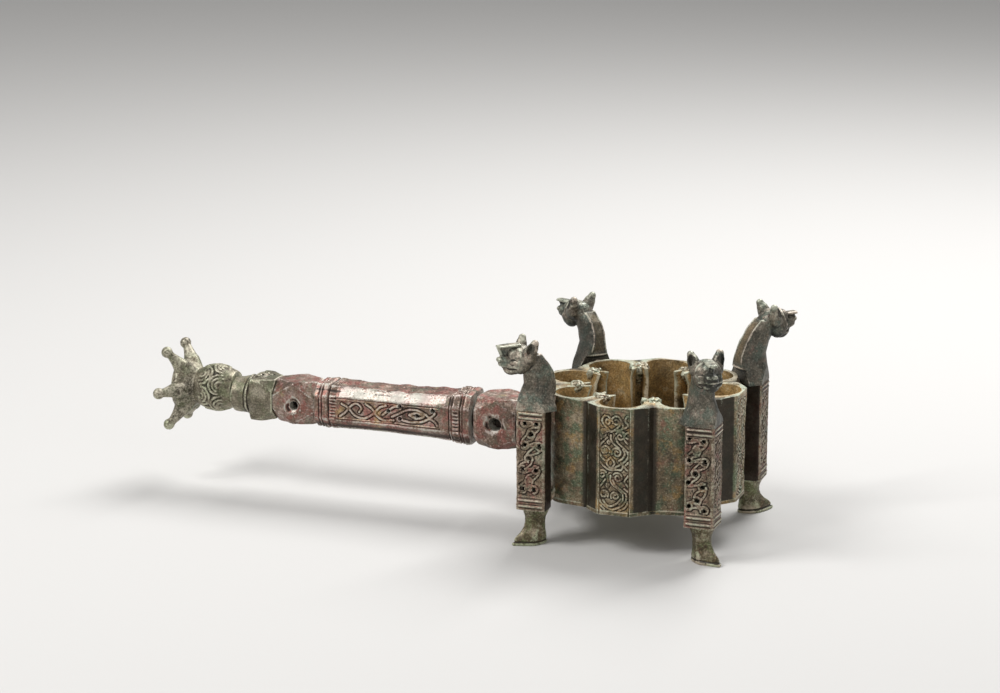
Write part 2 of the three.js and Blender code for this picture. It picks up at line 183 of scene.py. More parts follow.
def curl(centre, radius, start, turns, inner=0.25):
    """A flat spiral winding in from its outer end, start in degrees, negative turns the other way."""
    share = np.linspace(0, 1, max(8, round(abs(turns) * 18)))
    angle = math.radians(start) + share * turns * 2 * math.pi
    reach = radius * (1 - (1 - inner) * share)
    return np.stack([centre[0] + reach * np.cos(angle), centre[1] + reach * np.sin(angle)], axis=1)


def gap_to(places, lines, reach):
    """How far each place is from the nearest of the lines, counted up to reach."""
    best = np.full(len(places), float(reach))
    for line in lines:
        low = line.min(axis=0) - reach
        high = line.max(axis=0) + reach
        close = np.nonzero(np.all((places > low) & (places < high), axis=1))[0]
        if not len(close):
            continue
        start = line[:-1][None]
        step = (line[1:] - line[:-1])[None]
        from_start = places[close][:, None] - start
        share = np.clip((from_start * step).sum(axis=2) / ((step**2).sum(axis=2) + 1e-12), 0, 1)
        gap = np.linalg.norm(from_start - step * share[..., None], axis=2).min(axis=1)
        best[close] = np.minimum(best[close], gap)
    return best


def read_array(items, name, width, kind=np.float32):
    values = np.empty(len(items) * width, kind)
    items.foreach_get(name, values)
    return values.reshape(-1, width)


def places_of(mesh):
    return read_array(mesh.vertices, "co", 3).astype(float)


def put_places(mesh, co):
    mesh.vertices.foreach_set("co", np.ascontiguousarray(co, np.float32).ravel())
    mesh.update()


def normals_of(mesh):
    return read_array(mesh.vertex_normals, "vector", 3).astype(float)


def edges_of(mesh):
    return read_array(mesh.edges, "vertices", 2, np.int32)


def averaged(values, ends, rounds, factor=1.0):
    """Each vertex's values drawn towards the mean of its neighbours', round after round."""
    total = len(values)
    joined = np.maximum(np.bincount(ends.ravel(), minlength=total), 1)[:, None]
    a, b = ends[:, 0], ends[:, 1]
    for _ in range(rounds):
        mean = np.stack([
            np.bincount(a, values[b, k], total) + np.bincount(b, values[a, k], total)
            for k in range(values.shape[1])
        ], axis=1) / joined
        values = values + factor * (mean - values)
    return values


def mesh_from(bm):
    mesh = bpy.data.meshes.new("shape")
    bm.to_mesh(mesh)
    bm.free()
    return mesh


def settled(mesh, *modifiers):
    """The mesh after modifiers, each given as its kind and its settings, with cutters as meshes."""
    body = bpy.data.objects.new("blank", mesh)
    bpy.context.scene.collection.objects.link(body)
    helpers = []
    for kind, settings in modifiers:
        modifier = body.modifiers.new(kind, kind)
        for key, value in settings.items():
            if isinstance(value, bpy.types.Mesh):
                value = bpy.data.objects.new("cutter", value)
                bpy.context.scene.collection.objects.link(value)
                helpers.append(value)
            setattr(modifier, key, value)
    graph = bpy.context.evaluated_depsgraph_get()
    result = bpy.data.meshes.new_from_object(body.evaluated_get(graph))
    for helper in [body, *helpers]:
        spent = helper.data
        bpy.data.objects.remove(helper)
        bpy.data.meshes.remove(spent)
    return result


def cut(mesh, *cutters):
    """The mesh with the cutters taken away from it."""
    return settled(mesh, *[
        ("BOOLEAN", {"operation": "DIFFERENCE", "solver": "EXACT", "object": cutter}) for cutter in cutters
    ])


def add_mesh(bm, mesh):
    """Adds a mesh to a bmesh and drops it."""
    bm.from_mesh(mesh)
    bpy.data.meshes.remove(mesh)


def fused(bm, voxel, smoothing=4):
    """Overlapping bodies made one skin of even small faces."""
    return settled(
        mesh_from(bm),
        ("REMESH", {"mode": "VOXEL", "voxel_size": voxel}),
        ("SMOOTH", {"factor": 0.5, "iterations": smoothing}),
    )


def note(mesh, name, values):
    noted = mesh.attributes.new(name, "FLOAT", "POINT")
    noted.data.foreach_set("value", np.clip(values, 0, 1).astype(np.float32))


# Rounds of averaging that show what stands proud, on edges half a millimetre long and at most
WEAR_ROUNDS = 2.2
WEAR_EDGE = 0.5
MOST_WEAR_ROUNDS = 14


def mark_wear(mesh, height, rubbed_and_highlit, recess_and_shade, inside):
    """Notes for the patina where the surface stands proud, where it lies in a hollow and what is inside,
    with the painted highlights and painted shade that a piece adds.
    """
    ends = edges_of(mesh)
    co = places_of(mesh)
    spacing = np.median(np.linalg.norm(co[ends[:, 0]] - co[ends[:, 1]], axis=1))
    rounds = int(np.clip(round(WEAR_ROUNDS * (WEAR_EDGE / spacing) ** 2), 1, MOST_WEAR_ROUNDS))
    rise = ((co - averaged(co, ends, rounds)) * normals_of(mesh)).sum(axis=1)[:, None]
    rise = averaged(rise, ends, 1)[:, 0] / height
    factor, extra = rubbed_and_highlit
    note(mesh, "wear_and_highlight", rise * factor + extra)
    # The hollow note holds grime in hollows together with the painted shade that a piece passes in
    note(mesh, "hollow", np.maximum(-rise * factor * (1 - inside), recess_and_shade))
    note(mesh, "inside", np.zeros(len(co)) + inside)


def finish_piece(name, mesh, slot, nodes, height=0.12, rubbed_and_highlit=(1, 0), recess_and_shade=0, inside=0, look=None):
    """Brings a finished mesh to metres, gives it its patina and hangs it on the frame.

    Height is the rise that counts as worn. The rubbed_and_highlit argument is a factor on it and what is
    added to it, and on some pieces adds painted highlights; recess_and_shade on some pieces holds painted
    shade."""
    mark_wear(mesh, height, rubbed_and_highlit, recess_and_shade, inside)
    mesh.transform(Matrix.Scale(MM, 4))
    mesh.polygons.foreach_set("use_smooth", [True] * len(mesh.polygons))
    mesh.set_sharp_from_angle(angle=SHARP_ANGLE)
    mesh.name = name
    mesh.materials.clear()
    mesh.materials.append(patina(look or slot))
    made = bpy.data.objects.new(name, mesh)
    bpy.context.scene.collection.objects.link(made)
    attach(made, "root")
    if nodes:
        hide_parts(*nodes)


def circle(count):
    """Points evenly round the unit circle."""
    turn = np.arange(count) * 2 * math.pi / count
    return np.stack([np.cos(turn), np.sin(turn)], axis=1)


def resampled(points, spacing):
    """The same line with points at an even spacing, its last point left out."""
    line = np.array(points, float)
    run = np.concatenate([[0], np.cumsum(np.linalg.norm(np.diff(line, axis=0), axis=1))])
    count = max(1, round(run[-1] / spacing))
    at = np.linspace(0, run[-1], count, endpoint=False)
    return np.stack([np.interp(at, run, line[:, 0]), np.interp(at, run, line[:, 1])], axis=1)


def raised(outline, bottom, top, rows):
    """A ring shaped to the outline, drawn upwards, cut into rows and capped."""
    bm = bmesh.new()
    ring = bmesh.ops.create_circle(bm, segments=len(outline), radius=1)["verts"]
    for vertex, (x, y) in zip(ring, outline):
        vertex.co = (x, y, bottom)
    grown = bmesh.ops.extrude_edge_only(bm, edges=bm.edges[:])["geom"]
    lifted = [part for part in grown if isinstance(part, bmesh.types.BMVert)]
    bmesh.ops.translate(bm, vec=(0, 0, top - bottom), verts=lifted)
    upright = [edge for edge in bm.edges if abs(edge.verts[0].co.z - edge.verts[1].co.z) > 1e-6]
    if rows > 1:
        bmesh.ops.subdivide_edges(bm, edges=upright, cuts=rows - 1, use_grid_fill=True)
    bmesh.ops.holes_fill(bm, edges=[edge for edge in bm.edges if edge.is_boundary], sides=0)
    bmesh.ops.recalc_face_normals(bm, faces=bm.faces[:])
    return bm


def soften_cap(bm, level, insets):
    """Rounds off the flat face that closes a raised shape at a level, by insets given as width and rise."""
    cap = [
        face for face in bm.faces
        if len(face.verts) > 4 and abs(face.calc_center_median().z - level) < 1e-4
    ]
    for width, rise in insets:
        bmesh.ops.inset_region(bm, faces=cap, thickness=width, depth=rise, use_boundary=True,
                               use_even_offset=True)


def lofted(bm, rings):
    """Rings of points joined one to the next and capped."""
    loops = []
    for points in rings:
        made = bmesh.ops.create_circle(bm, segments=len(points), radius=1)["verts"]
        for vertex, place in zip(made, points):
            vertex.co = place
        loops.append(list({edge for vertex in made for edge in vertex.link_edges}))
    for lower, upper in zip(loops, loops[1:]):
        bmesh.ops.bridge_loops(bm, edges=lower + upper)
    bmesh.ops.holes_fill(bm, edges=loops[0] + loops[-1], sides=0)
    bmesh.ops.recalc_face_normals(bm, faces=bm.faces[:])


def blob(bm, centre, radii, turn=None):
    shape = Matrix.Translation(centre) @ (turn or Matrix()) @ Matrix.Diagonal((*radii, 1))
    bmesh.ops.create_uvsphere(bm, u_segments=28, v_segments=16, radius=1, matrix=shape)


def rod(bm, start, end, radius_start, radius_end, segments=20, rounded=True):
    """A round bar between two points, its ends rounded."""
    a, b = Vector(start), Vector(end)
    along = b - a
    shape = Matrix.Translation((a + b) / 2) @ along.to_track_quat("Z", "Y").to_matrix().to_4x4()
    bmesh.ops.create_cone(
        bm, cap_ends=True, segments=segments, radius1=radius_start, radius2=radius_end,
        depth=along.length, matrix=shape,
    )
    if rounded:
        blob(bm, a, (radius_start,) * 3)
        blob(bm, b, (radius_end,) * 3)


def slab(bm, low, high, turn=None):
    a, b = Vector(low), Vector(high)
    shape = Matrix.Translation((a + b) / 2) @ (turn or Matrix()) @ Matrix.Diagonal((*(b - a), 1))
    bmesh.ops.create_cube(bm, size=1, matrix=shape)


# Patina

# The pale and mint tones also colour painted highlights, and the deep tone also colours painted shade
TONES = {
    "deep": "Colour of hollows",
    "mid": "Colour of the plain metal",
    "pale": "Colour of rubbed metal",
    "mint": "Greenish colour of rubbed metal",
    "green": "Verdigris",
    "red": "Copper oxide",
    "earth": "Earth and ochre",
}
COLOURS = table(TONES, {
    "bowl_bronze": ((0.03, 0.022, 0.012), (0.212, 0.163, 0.098), (0.53, 0.47, 0.35), (0.45, 0.49, 0.38),
                    (0.095, 0.13, 0.075), (0.23, 0.115, 0.078), (0.3, 0.185, 0.065)),
    # The ochre lining's tones are set lighter as painted light falling into the bowl
    "bowl_inside": ((0.05, 0.03, 0.012), (0.25, 0.175, 0.08), (0.46, 0.38, 0.24), (0.42, 0.44, 0.3),
                    (0.14, 0.15, 0.07), (0.28, 0.14, 0.06), (0.42, 0.26, 0.09)),
    "leg_bronze": ((0.028, 0.016, 0.009), (0.175, 0.128, 0.082), (0.52, 0.42, 0.33), (0.4, 0.41, 0.31),
                   (0.13, 0.145, 0.095), (0.22, 0.085, 0.065), (0.25, 0.145, 0.06)),
    "head_bronze": ((0.026, 0.027, 0.02), (0.15, 0.132, 0.1), (0.55, 0.46, 0.37), (0.45, 0.46, 0.36),
                    (0.115, 0.142, 0.112), (0.27, 0.165, 0.13), (0.2, 0.145, 0.07)),
    "foot_bronze": ((0.026, 0.02, 0.01), (0.1, 0.078, 0.042), (0.5, 0.42, 0.31), (0.42, 0.46, 0.3),
                    (0.13, 0.145, 0.065), (0.17, 0.095, 0.06), (0.19, 0.12, 0.05)),
    "handle_bronze": ((0.03, 0.017, 0.011), (0.195, 0.135, 0.098), (0.58, 0.46, 0.415), (0.54, 0.53, 0.46),
                      (0.15, 0.165, 0.105), (0.25, 0.095, 0.075), (0.32, 0.235, 0.08)),
    "finial_bronze": ((0.032, 0.027, 0.017), (0.19, 0.165, 0.115), (0.56, 0.51, 0.4), (0.47, 0.48, 0.34),
                      (0.15, 0.158, 0.09), (0.21, 0.13, 0.1), (0.22, 0.17, 0.07)),
})
# How much of each surface turns green, red and earthy, as the level of noise that it starts at
SHARES = table(("green", "red", "earth"), {
    "bowl_bronze": (0.47, 0.54, 0.51),
    "bowl_inside": (0.58, 0.56, 0.44),
    "leg_bronze": (0.52, 0.5, 0.57),
    "head_bronze": (0.47, 0.56, 0.58),
    "foot_bronze": (0.47, 0.57, 0.54),
    "handle_bronze": (0.54, 0.46, 0.6),
    "finial_bronze": (0.47, 0.58, 0.58),
})
finishes = {}


class PatinaNodes:
    """Lays out one patina's nodes, each call adding one and wiring it."""

    def __init__(self, material):
        self.tree = material.node_tree
        self.place = self.add("ShaderNodeTexCoord").outputs["Object"]

    def add(self, kind, **settings):
        node = self.tree.nodes.new(kind)
        for key, value in settings.items():
            setattr(node, key, value)
        return node

    def feed(self, socket, value):
        if isinstance(value, bpy.types.NodeSocket):
            self.tree.links.new(value, socket)
        else:
            socket.default_value = value

    def noise(self, size, detail=4.0, roughness=0.55, shift=0.0, stretch=(1, 1, 1)):
        """Cloudy noise whose clouds are about size millimetres across."""
        mapping = self.add("ShaderNodeMapping")
        self.feed(mapping.inputs["Vector"], self.place)
        mapping.inputs["Location"].default_value = (shift, shift * 0.7, -shift)
        mapping.inputs["Scale"].default_value = stretch
        node = self.add("ShaderNodeTexNoise")
        self.feed(node.inputs["Vector"], mapping.outputs[0])
        node.inputs["Scale"].default_value = 1 / (size * MM)
        node.inputs["Detail"].default_value = detail
        node.inputs["Roughness"].default_value = roughness
        return node.outputs["Fac"]

    def pits(self, size):
        node = self.add("ShaderNodeTexVoronoi", feature="F1")
        self.feed(node.inputs["Vector"], self.place)
        node.inputs["Scale"].default_value = 1 / (size * MM)
        return node.outputs["Distance"]

    def noted(self, name):
        return self.add("ShaderNodeAttribute", attribute_name=name).outputs["Fac"]

    def times(self, a, b):
        return self.sum("MULTIPLY", a, b)

    def sum(self, operation, a, b):
        node = self.add("ShaderNodeMath", operation=operation)
        self.feed(node.inputs[0], a)
        self.feed(node.inputs[1], b)
        return node.outputs[0]

    def ramp(self, value, low, high, out_low=0.0, out_high=1.0):
        node = self.add("ShaderNodeMapRange", interpolation_type="SMOOTHSTEP")
        for socket, number in zip(node.inputs, [value, low, high, out_low, out_high]):
            self.feed(socket, number)
        return node.outputs[0]

    def blend(self, share, below, above, kind="MIX"):
        node = self.add("ShaderNodeMix", data_type="RGBA", blend_type=kind)
        self.feed(node.inputs["Factor"], share)
        self.feed(node.inputs[6], (*below, 1) if isinstance(below, tuple) else below)
        self.feed(node.inputs[7], (*above, 1) if isinstance(above, tuple) else above)
        return node.outputs[2]


# Sizes of the clouds, mottles, specks and pits of a patina, and of its green, red and earthy patches
CLOUDS = 22
MOTTLES = 5.0
SPECKS = 0.9
PITS = 1.1
PATCHES = {"green": (8, 1.7), "red": (6, 2.9), "earth": (10, 4.3)}
PATCH_EDGE = 0.13
PATCH_COVER = 0.85
BUMP_HEIGHT = 0.0003


def tones_of(slot):
    """The colours that are set for a patina."""
    chosen = getattr(bpy.context.scene, "burner_" + slot)
    return {tone: tuple(getattr(chosen, tone)) for tone in TONES}


def mixed(a, b, share):
    """A colour between two, the share being that of the first."""
    return tuple(share * first + (1 - share) * second for first, second in zip(a, b))


def bronze_colour(nodes, slot, clouds, mottle):
    """Light and dark metal with patches of verdigris, red oxide and earth, and the noises behind both."""
    tones = tones_of(slot)
    low = mixed(tones["deep"], tones["mid"], 0.62)
    high = mixed(tones["mid"], tones["pale"], 0.58)
    shade = nodes.sum("ADD", nodes.times(clouds, 0.4), nodes.times(mottle, 0.6))
    colour = nodes.blend(nodes.ramp(shade, 0.39, 0.51), low, tones["mid"])
    colour = nodes.blend(nodes.ramp(shade, 0.5, 0.61), colour, high)
    for name, (size, shift) in PATCHES.items():
        spread = nodes.noise(size, 10, 0.72, shift)
        start = SHARES[slot][name]
        share = nodes.ramp(spread, start, start + PATCH_EDGE, 0, PATCH_COVER)
        colour = nodes.blend(share, colour, tones[name])
    return colour, shade, spread


def patina(slot):
    """Old bronze: mottled metal, verdigris, red oxide and earth, dark in hollows and pale on edges, with
    painted shade and painted highlights where the pieces note them.
    """
    if slot in finishes:
        return finishes[slot]
    tones = tones_of(slot)
    settings = bpy.context.scene.burner_patina
    material = bpy.data.materials.new("patina_" + slot)
    material.use_nodes = True
    nodes = PatinaNodes(material)
    clouds = nodes.noise(CLOUDS, 6, 0.6)
    mottle = nodes.noise(MOTTLES, 8, 0.66, 0.31)
    specks = nodes.noise(SPECKS, 6, 0.62, 0.77)
    pits = nodes.pits(PITS)
    # hollow holds grime in hollows together with painted shade; wear holds worn edges together with painted
    # highlights
    hollow, wear, inside = [nodes.noted(name) for name in ("hollow", "wear_and_highlight", "inside")]
    colour, shade, spread = bronze_colour(nodes, slot, clouds, mottle)
    # Ochre lining of the bowl, set lighter as painted light falling into the bowl, and brass where a piece
    # notes it as inside
    ochre = tones_of("bowl_inside")
    lining = nodes.blend(nodes.ramp(shade, 0.36, 0.6), ochre["mid"], ochre["earth"])
    lining = nodes.blend(nodes.ramp(mottle, 0.52, 0.7, 0, 0.8), lining, ochre["pale"])
    lining = nodes.blend(nodes.ramp(clouds, 0.42, 0.3, 0, 0.85), lining, ochre["deep"])
    colour = nodes.blend(nodes.times(inside, 0.85), colour, lining)
    # Grain of the cast surface
    grain = nodes.ramp(specks, 0.3, 0.7, 0.58, 1.42)
    grain = nodes.times(grain, nodes.ramp(pits, 0.08, 0.3, 0.7, 1.0))
    grain = nodes.times(grain, nodes.ramp(clouds, 0.35, 0.65, 0.8, 1.25))
    grain_colour = nodes.add("ShaderNodeCombineColor")
    for socket in grain_colour.inputs:
        nodes.feed(socket, grain)
    colour = nodes.blend(1.0, colour, grain_colour.outputs[0], "MULTIPLY")
    # Pale flecks; grime in hollows together with the painted shade that pieces note with it; and worn metal
    # bright on what stands proud, together with the painted highlights that pieces note with it
    bright = nodes.blend(nodes.ramp(clouds, 0.42, 0.56), tones["pale"], tones["mint"])
    colour = nodes.blend(nodes.ramp(specks, 0.56, 0.7, 0, 0.4), colour, bright)
    dirt = nodes.ramp(nodes.sum("ADD", hollow, nodes.times(mottle, 0.3)), 0.2, 0.8, 0, 0.92)
    colour = nodes.blend(dirt, colour, tuple(0.55 * v for v in tones["deep"]))
    patchy = nodes.ramp(nodes.sum("ADD", mottle, specks), 0.8, 1.15, 0.5, 1.25)
    rubbed_and_highlit = nodes.times(nodes.ramp(nodes.times(wear, patchy), 0.25, 0.95), settings.wear)
    colour = nodes.blend(rubbed_and_highlit, colour, bright)
    shader = nodes.tree.nodes["Principled BSDF"]
    nodes.feed(shader.inputs["Base Color"], colour)
    metal = nodes.ramp(spread, 0.3, 0.7, 0.6, 0.34)
    for cover, share in ((inside, 0.7), (rubbed_and_highlit, 0.55)):
        metal = nodes.times(metal, nodes.sum("SUBTRACT", 1.0, nodes.times(cover, share)))
    nodes.feed(shader.inputs["Metallic"], metal)
    rough = nodes.ramp(mottle, 0.3, 0.7, settings.roughness - 0.1, settings.roughness + 0.14)
    nodes.feed(shader.inputs["Roughness"], nodes.sum("SUBTRACT", rough, nodes.times(rubbed_and_highlit, 0.07)))
    relief = nodes.sum("ADD", nodes.times(mottle, 0.5), nodes.times(specks, 0.45))
    relief = nodes.sum("ADD", relief, nodes.times(nodes.ramp(pits, 0.05, 0.3), 0.25))
    bump = nodes.add("ShaderNodeBump")
    bump.inputs["Strength"].default_value = settings.pitting
    bump.inputs["Distance"].default_value = BUMP_HEIGHT
    nodes.feed(bump.inputs["Height"], relief)
    nodes.feed(shader.inputs["Normal"], bump.outputs[0])
    finishes[slot] = material
    return material


# Bowl

def seam_point(radius):
    return [radius * math.cos(SEAM), radius * math.sin(SEAM)]


def lobe_arc(radius, start, end, steps=24):
    angle = np.radians(np.linspace(start, end, steps + 1))
    return np.stack([LOBE_RING + radius * np.cos(angle), radius * np.sin(angle)], axis=1)


# Half the outline of a carved lobe, its panel's rounded corner and then the flank, and of a plain one
PANEL_CORNER = [(PANEL_REACH, PANEL_HALF - 0.6), (48.76, PANEL_HALF - 0.15), (48.3, PANEL_HALF + 0.35)]
PANEL_FLANK = [PANEL_CORNER[-1], (45.6, 11.6), (42.6, 15.2)]
PLAIN_ARC = 35
PANEL_STEP = 0.22
OUTLINE_STEP = 0.6


def outer_half(decorated):
    """The outside of half a lobe, from its middle round to the seam."""
    seam = seam_point(NOTCH)
    if decorated:
        panel = resampled([(PANEL_REACH, 0), PANEL_CORNER[0]], PANEL_STEP)
        corner = resampled(PANEL_CORNER, 0.25)
        return np.vstack([panel, corner, resampled([*PANEL_FLANK, seam], OUTLINE_STEP)])
    front = lobe_arc(LOBE_OUTER, 0, PLAIN_ARC)
    return np.vstack([resampled(front, OUTLINE_STEP), resampled([front[-1], seam], OUTLINE_STEP)])


def inner_half():
    """The seam, the tip beside the mouth and the inside of half a lobe."""
    seam = np.array([seam_point(NOTCH)])
    tip = through([seam_point(WEB_INNER), *lobe_arc(LOBE_OUTER, 108, 132, 3),
                   (27.45, 7.6), (27.7, 6.6), *lobe_arc(LOBE_INNER, 135, 120, 2)])
    inside = lobe_arc(LOBE_INNER, 120, 0, 30)
    return np.vstack([seam, resampled(tip, 0.5), resampled(inside, 0.9), [[LOBE_RING + LOBE_INNER, 0]]])


def mirrored(half):
    """The other half of an outline, without the points on its middle line."""
    return half[np.abs(half[:, 1]) > 1e-6][::-1] * [1, -1]


def round_bowl(co, lobe):
    """Local places of a lobe turned to where it stands."""
    return turned(co, lobe * LOBE_TURN) + [BOWL.x, BOWL.y, 0]


# Vine scroll of a lobe panel: across from its middle, and down from the rim
VINE = [
    # top heart, its two curls and the half motif at the right edge
    through([(-2.6, 8.2), (-2.2, 6.4), (-3.4, 4.9), (-5.4, 5.2), (-6.3, 7.2), (-5.2, 9.4),
             (-3.4, 11.2), (-1.8, 12.6)]),
    through([(-0.9, 8.3), (-1.3, 6.4), (0.0, 4.9), (2.0, 5.0), (3.1, 6.8), (2.4, 9.2),
             (0.6, 11.2), (-1.8, 12.6)]),
    through([(7.6, 4.2), (5.8, 4.9), (5.4, 6.9), (6.6, 8.2)]),
    through([(3.1, 6.8), (4.3, 9.3), (3.4, 11.2), (1.6, 12.2)]),
    curl((-3.5, 7.6), 1.3, 60, 0.7, 0.6),
    curl((0.9, 7.4), 1.5, 120, -0.7, 0.6),
    through([(6.9, 8.8), (5.2, 10.2), (3.6, 10.6)]),
    # curls that turn outwards between the hearts
    curl((-5.4, 14.0), 2.1, -40, -1.35),
    curl((2.9, 14.4), 2.4, 210, 1.4),
    through([(-1.8, 12.6), (-3.2, 12.2), (-4.6, 11.6), (-6.6, 12.0)]),
    through([(-3.6, 15.4), (-5.0, 17.0), (-7.4, 19.4)]),
    through([(-1.8, 12.6), (0.2, 11.8), (2.4, 11.4), (4.8, 12.4)]),
    through([(0.8, 15.4), (1.8, 17.6), (4.2, 19.6), (6.6, 21.8)]),
    through([(7.4, 12.0), (5.2, 13.4), (5.0, 16.0), (7.0, 18.0)]),
    curl((-2.6, 17.6), 0.9, 90, 0.8, 0.5),
    through([(5.8, 14.8), (7.2, 15.4)]),
    through([(-6.8, 16.4), (-5.4, 15.2)]),
    through([(-1.8, 14.2), (-1.6, 16.2), (-0.2, 18.4), (2.4, 20.2)]),
    # second heart
    curl((-4.6, 21.8), 2.4, 20, -1.4),
    curl((1.3, 22.6), 2.6, 160, 1.45),
    through([(-7.2, 20.0), (-7.4, 23.0), (-5.8, 25.8), (-3.6, 27.4)]),
    through([(6.6, 21.8), (6.9, 24.0), (5.4, 26.4), (2.6, 28.6), (-0.6, 30.6)]),
    curl((-4.4, 21.9), 0.9, 90, 0.8, 0.5),
    through([(4.4, 20.6), (5.2, 22.8), (4.2, 25.0), (2.4, 26.4)]),
    # diamond and the ties beside it
    through([(-1.8, 25.2), (0.2, 27.8), (-1.8, 30.4), (-3.8, 27.8), (-1.8, 25.2)]),
    through([(-7.4, 27.4), (-5.4, 29.6), (-3.4, 31.0)]),
    through([(6.8, 27.0), (5.2, 29.2), (7.0, 31.2)]),
    through([(3.4, 27.2), (4.4, 29.0), (3.4, 31.0)]),
    # curls that turn outwards
    curl((-6.0, 33.8), 2.2, -30, -1.3),
    curl((1.9, 34.8), 2.5, 210, 1.4),
    through([(-3.4, 31.0), (-1.6, 31.4), (0.6, 31.0), (3.4, 31.0)]),
    through([(-4.4, 36.2), (-6.0, 38.4), (-7.6, 40.6)]),
    through([(-0.6, 36.4), (0.6, 38.6), (3.2, 40.6), (6.0, 42.4)]),
    through([(6.9, 33.6), (5.3, 36.4), (6.9, 38.8)]),
    curl((-3.2, 39.0), 0.9, 90, 0.8, 0.5),
    through([(-1.8, 34.2), (-1.8, 36.6), (-0.4, 38.8), (2.2, 40.6), (4.4, 42.6)]),
    through([(5.2, 40.0), (6.8, 41.4)]),
    # lowest heart
    curl((-4.9, 43.6), 2.2, 30, -1.4),
    curl((0.6, 44.2), 2.2, 150, 1.4),
    through([(-7.6, 41.2), (-8.0, 44.4), (-6.4, 47.8), (-3.8, 50.0), (-1.4, 51.2)]),
    through([(6.0, 42.4), (6.2, 45.2), (4.2, 48.4), (1.4, 50.2), (-1.4, 51.2)]),
    through([(-5.4, 46.6), (-3.4, 49.0), (-1.2, 49.2), (1.6, 47.6), (3.4, 45.4)]),
    through([(-6.9, 49.0), (-4.8, 51.0)]),
    through([(6.9, 46.6), (5.6, 49.4), (2.4, 51.2)]),
    through([(4.4, 43.6), (4.4, 46.0), (2.8, 48.0)]),
]


# The carved field of a panel: where its face is, half its width, and its top and bottom below the rim
PANEL_FACE = 48.25
FIELD_HALF = 7.2
FIELD_TOP = 2.2
FIELD_BOTTOM = 51.6


def relief():
    """Depth of the carved ground."""
    return bpy.context.scene.burner_sizes.relief / MM


def sunk(gap):
    """Depth beside a strand as a share: a narrow groove, and beyond it ground that is half as deep."""
    return 0.45 * smoothstep(gap, 0.4, 0.7) + 0.55 * bell(gap, 0.74, 0.24)


def carved_notes(share, co):
    """Brightness of the strands, worn away in places, and dirt in the grooves of a carved field."""
    kept = smoothstep(ripple(co, 3.2, 15, 14), -1.0, 0.8)
    strand = (0.02 + 0.1 * kept) * (1 - smoothstep(share, 0.05, 0.4))
    return strand, (0.4 + 0.22 * kept) * smoothstep(share, 0.5, 0.9) + 0.1 * share


def panel_carving(co, lines):
    """How deep the ground of the vine scroll lies over the panel's face, as a share."""
    share = np.zeros(len(co))
    on_panel = co[:, 0] > PANEL_FACE
    across, down = co[on_panel, 1], RIM_TOP - co[on_panel, 2]
    gap = gap_to(np.stack([across, down], axis=1), lines, 2.0)
    field = smoothstep(FIELD_HALF - np.abs(across), 0, 0.3) * between(down, FIELD_TOP, FIELD_BOTTOM, 0.3)
    frame_line = 0.8 * bell(np.abs(across), FIELD_HALF + 0.15, 0.28) * smoothstep(down, 1.6, 2.2)
    worn = 0.16 * np.abs(ripple(co[on_panel], 0.8, 14, 14))
    share[on_panel] = np.maximum((sunk(gap) + worn) * field, frame_line)
    return share


def seam_gap(co):
    """How far places of a lobe are from its seams."""
    return co[:, 0] * math.sin(SEAM) - np.abs(co[:, 1]) * math.cos(SEAM)


def shape_bowl(co, lobe, decorated, lines):
    """Gives a carved lobe its vine scroll, and each its beaked tips and the unevenness of casting."""
    local = co.copy()
    if decorated:
        local[:, 0] -= relief() * panel_carving(co, lines)
    mouth = smoothstep(35.0 - co[:, 0], 0, 8) * smoothstep(co[:, 2], RIM_TOP - 7, RIM_TOP)
    local[:, 0] -= 1.9 * mouth
    stand = round_bowl(local, lobe)
    centre = round_bowl(np.array([[LOBE_RING, 0, 0.0]]), lobe)[0]
    away = unit(stand[:, :2] - centre[:2])
    wave = 0.22 * ripple(stand, 14, 11) + 0.08 * ripple(stand, 4, 12)
    stand[:, :2] += away * (wave * smoothstep(seam_gap(co), 0, 3))[:, None]
    rim = smoothstep(co[:, 2], RIM_TOP - 4, RIM_TOP)
    stand[:, 2] += rim * (0.3 * ripple(stand * [1, 1, 0], 16, 13) - 0.15)
    return stand


def bowl_notes(co, decorated, lines):
    """Where a lobe is worn bright and its rim carries a painted highlight, where grime stays and painted
    shade darkens a carved lobe's flanks, and what is its inside.
    """
    across = np.abs(co[:, 1])
    from_seam = seam_gap(co)
    outside = smoothstep(np.hypot(co[:, 0] - LOBE_RING, co[:, 1]), LOBE_INNER + 0.5, LOBE_INNER + 0.9)
    outside *= smoothstep(co[:, 0], 35.5, 37.5)
    rim = smoothstep(co[:, 2], RIM_TOP - 0.75, RIM_TOP - 0.35)
    recess_and_shade = smoothstep(across, 11.0, 13.0) * 0.2
    # Worn rim, with a painted highlight along its top
    rubbed_and_highlit = 0.9 * rim
    if decorated:
        strand, ground = carved_notes(panel_carving(co, lines), co)
        # Painted shade on the flanks of a carved lobe, and grime in its carved ground
        recess_and_shade = smoothstep(across, 8.6, 9.8) * 0.66 + ground
        rubbed_and_highlit = rubbed_and_highlit + strand * (co[:, 0] > PANEL_FACE) * (across < FIELD_HALF)
    recess_and_shade += 0.4 * (1 - smoothstep(from_seam, 0.6, 2.6))
    return {
        "rubbed_and_highlit": (smoothstep(from_seam, 1.6, 3.0) * (0.68 if decorated else 1), rubbed_and_highlit),
        "recess_and_shade": recess_and_shade * outside * (1 - rim),
        "inside": (1 - outside) * (1 - rim),
    }


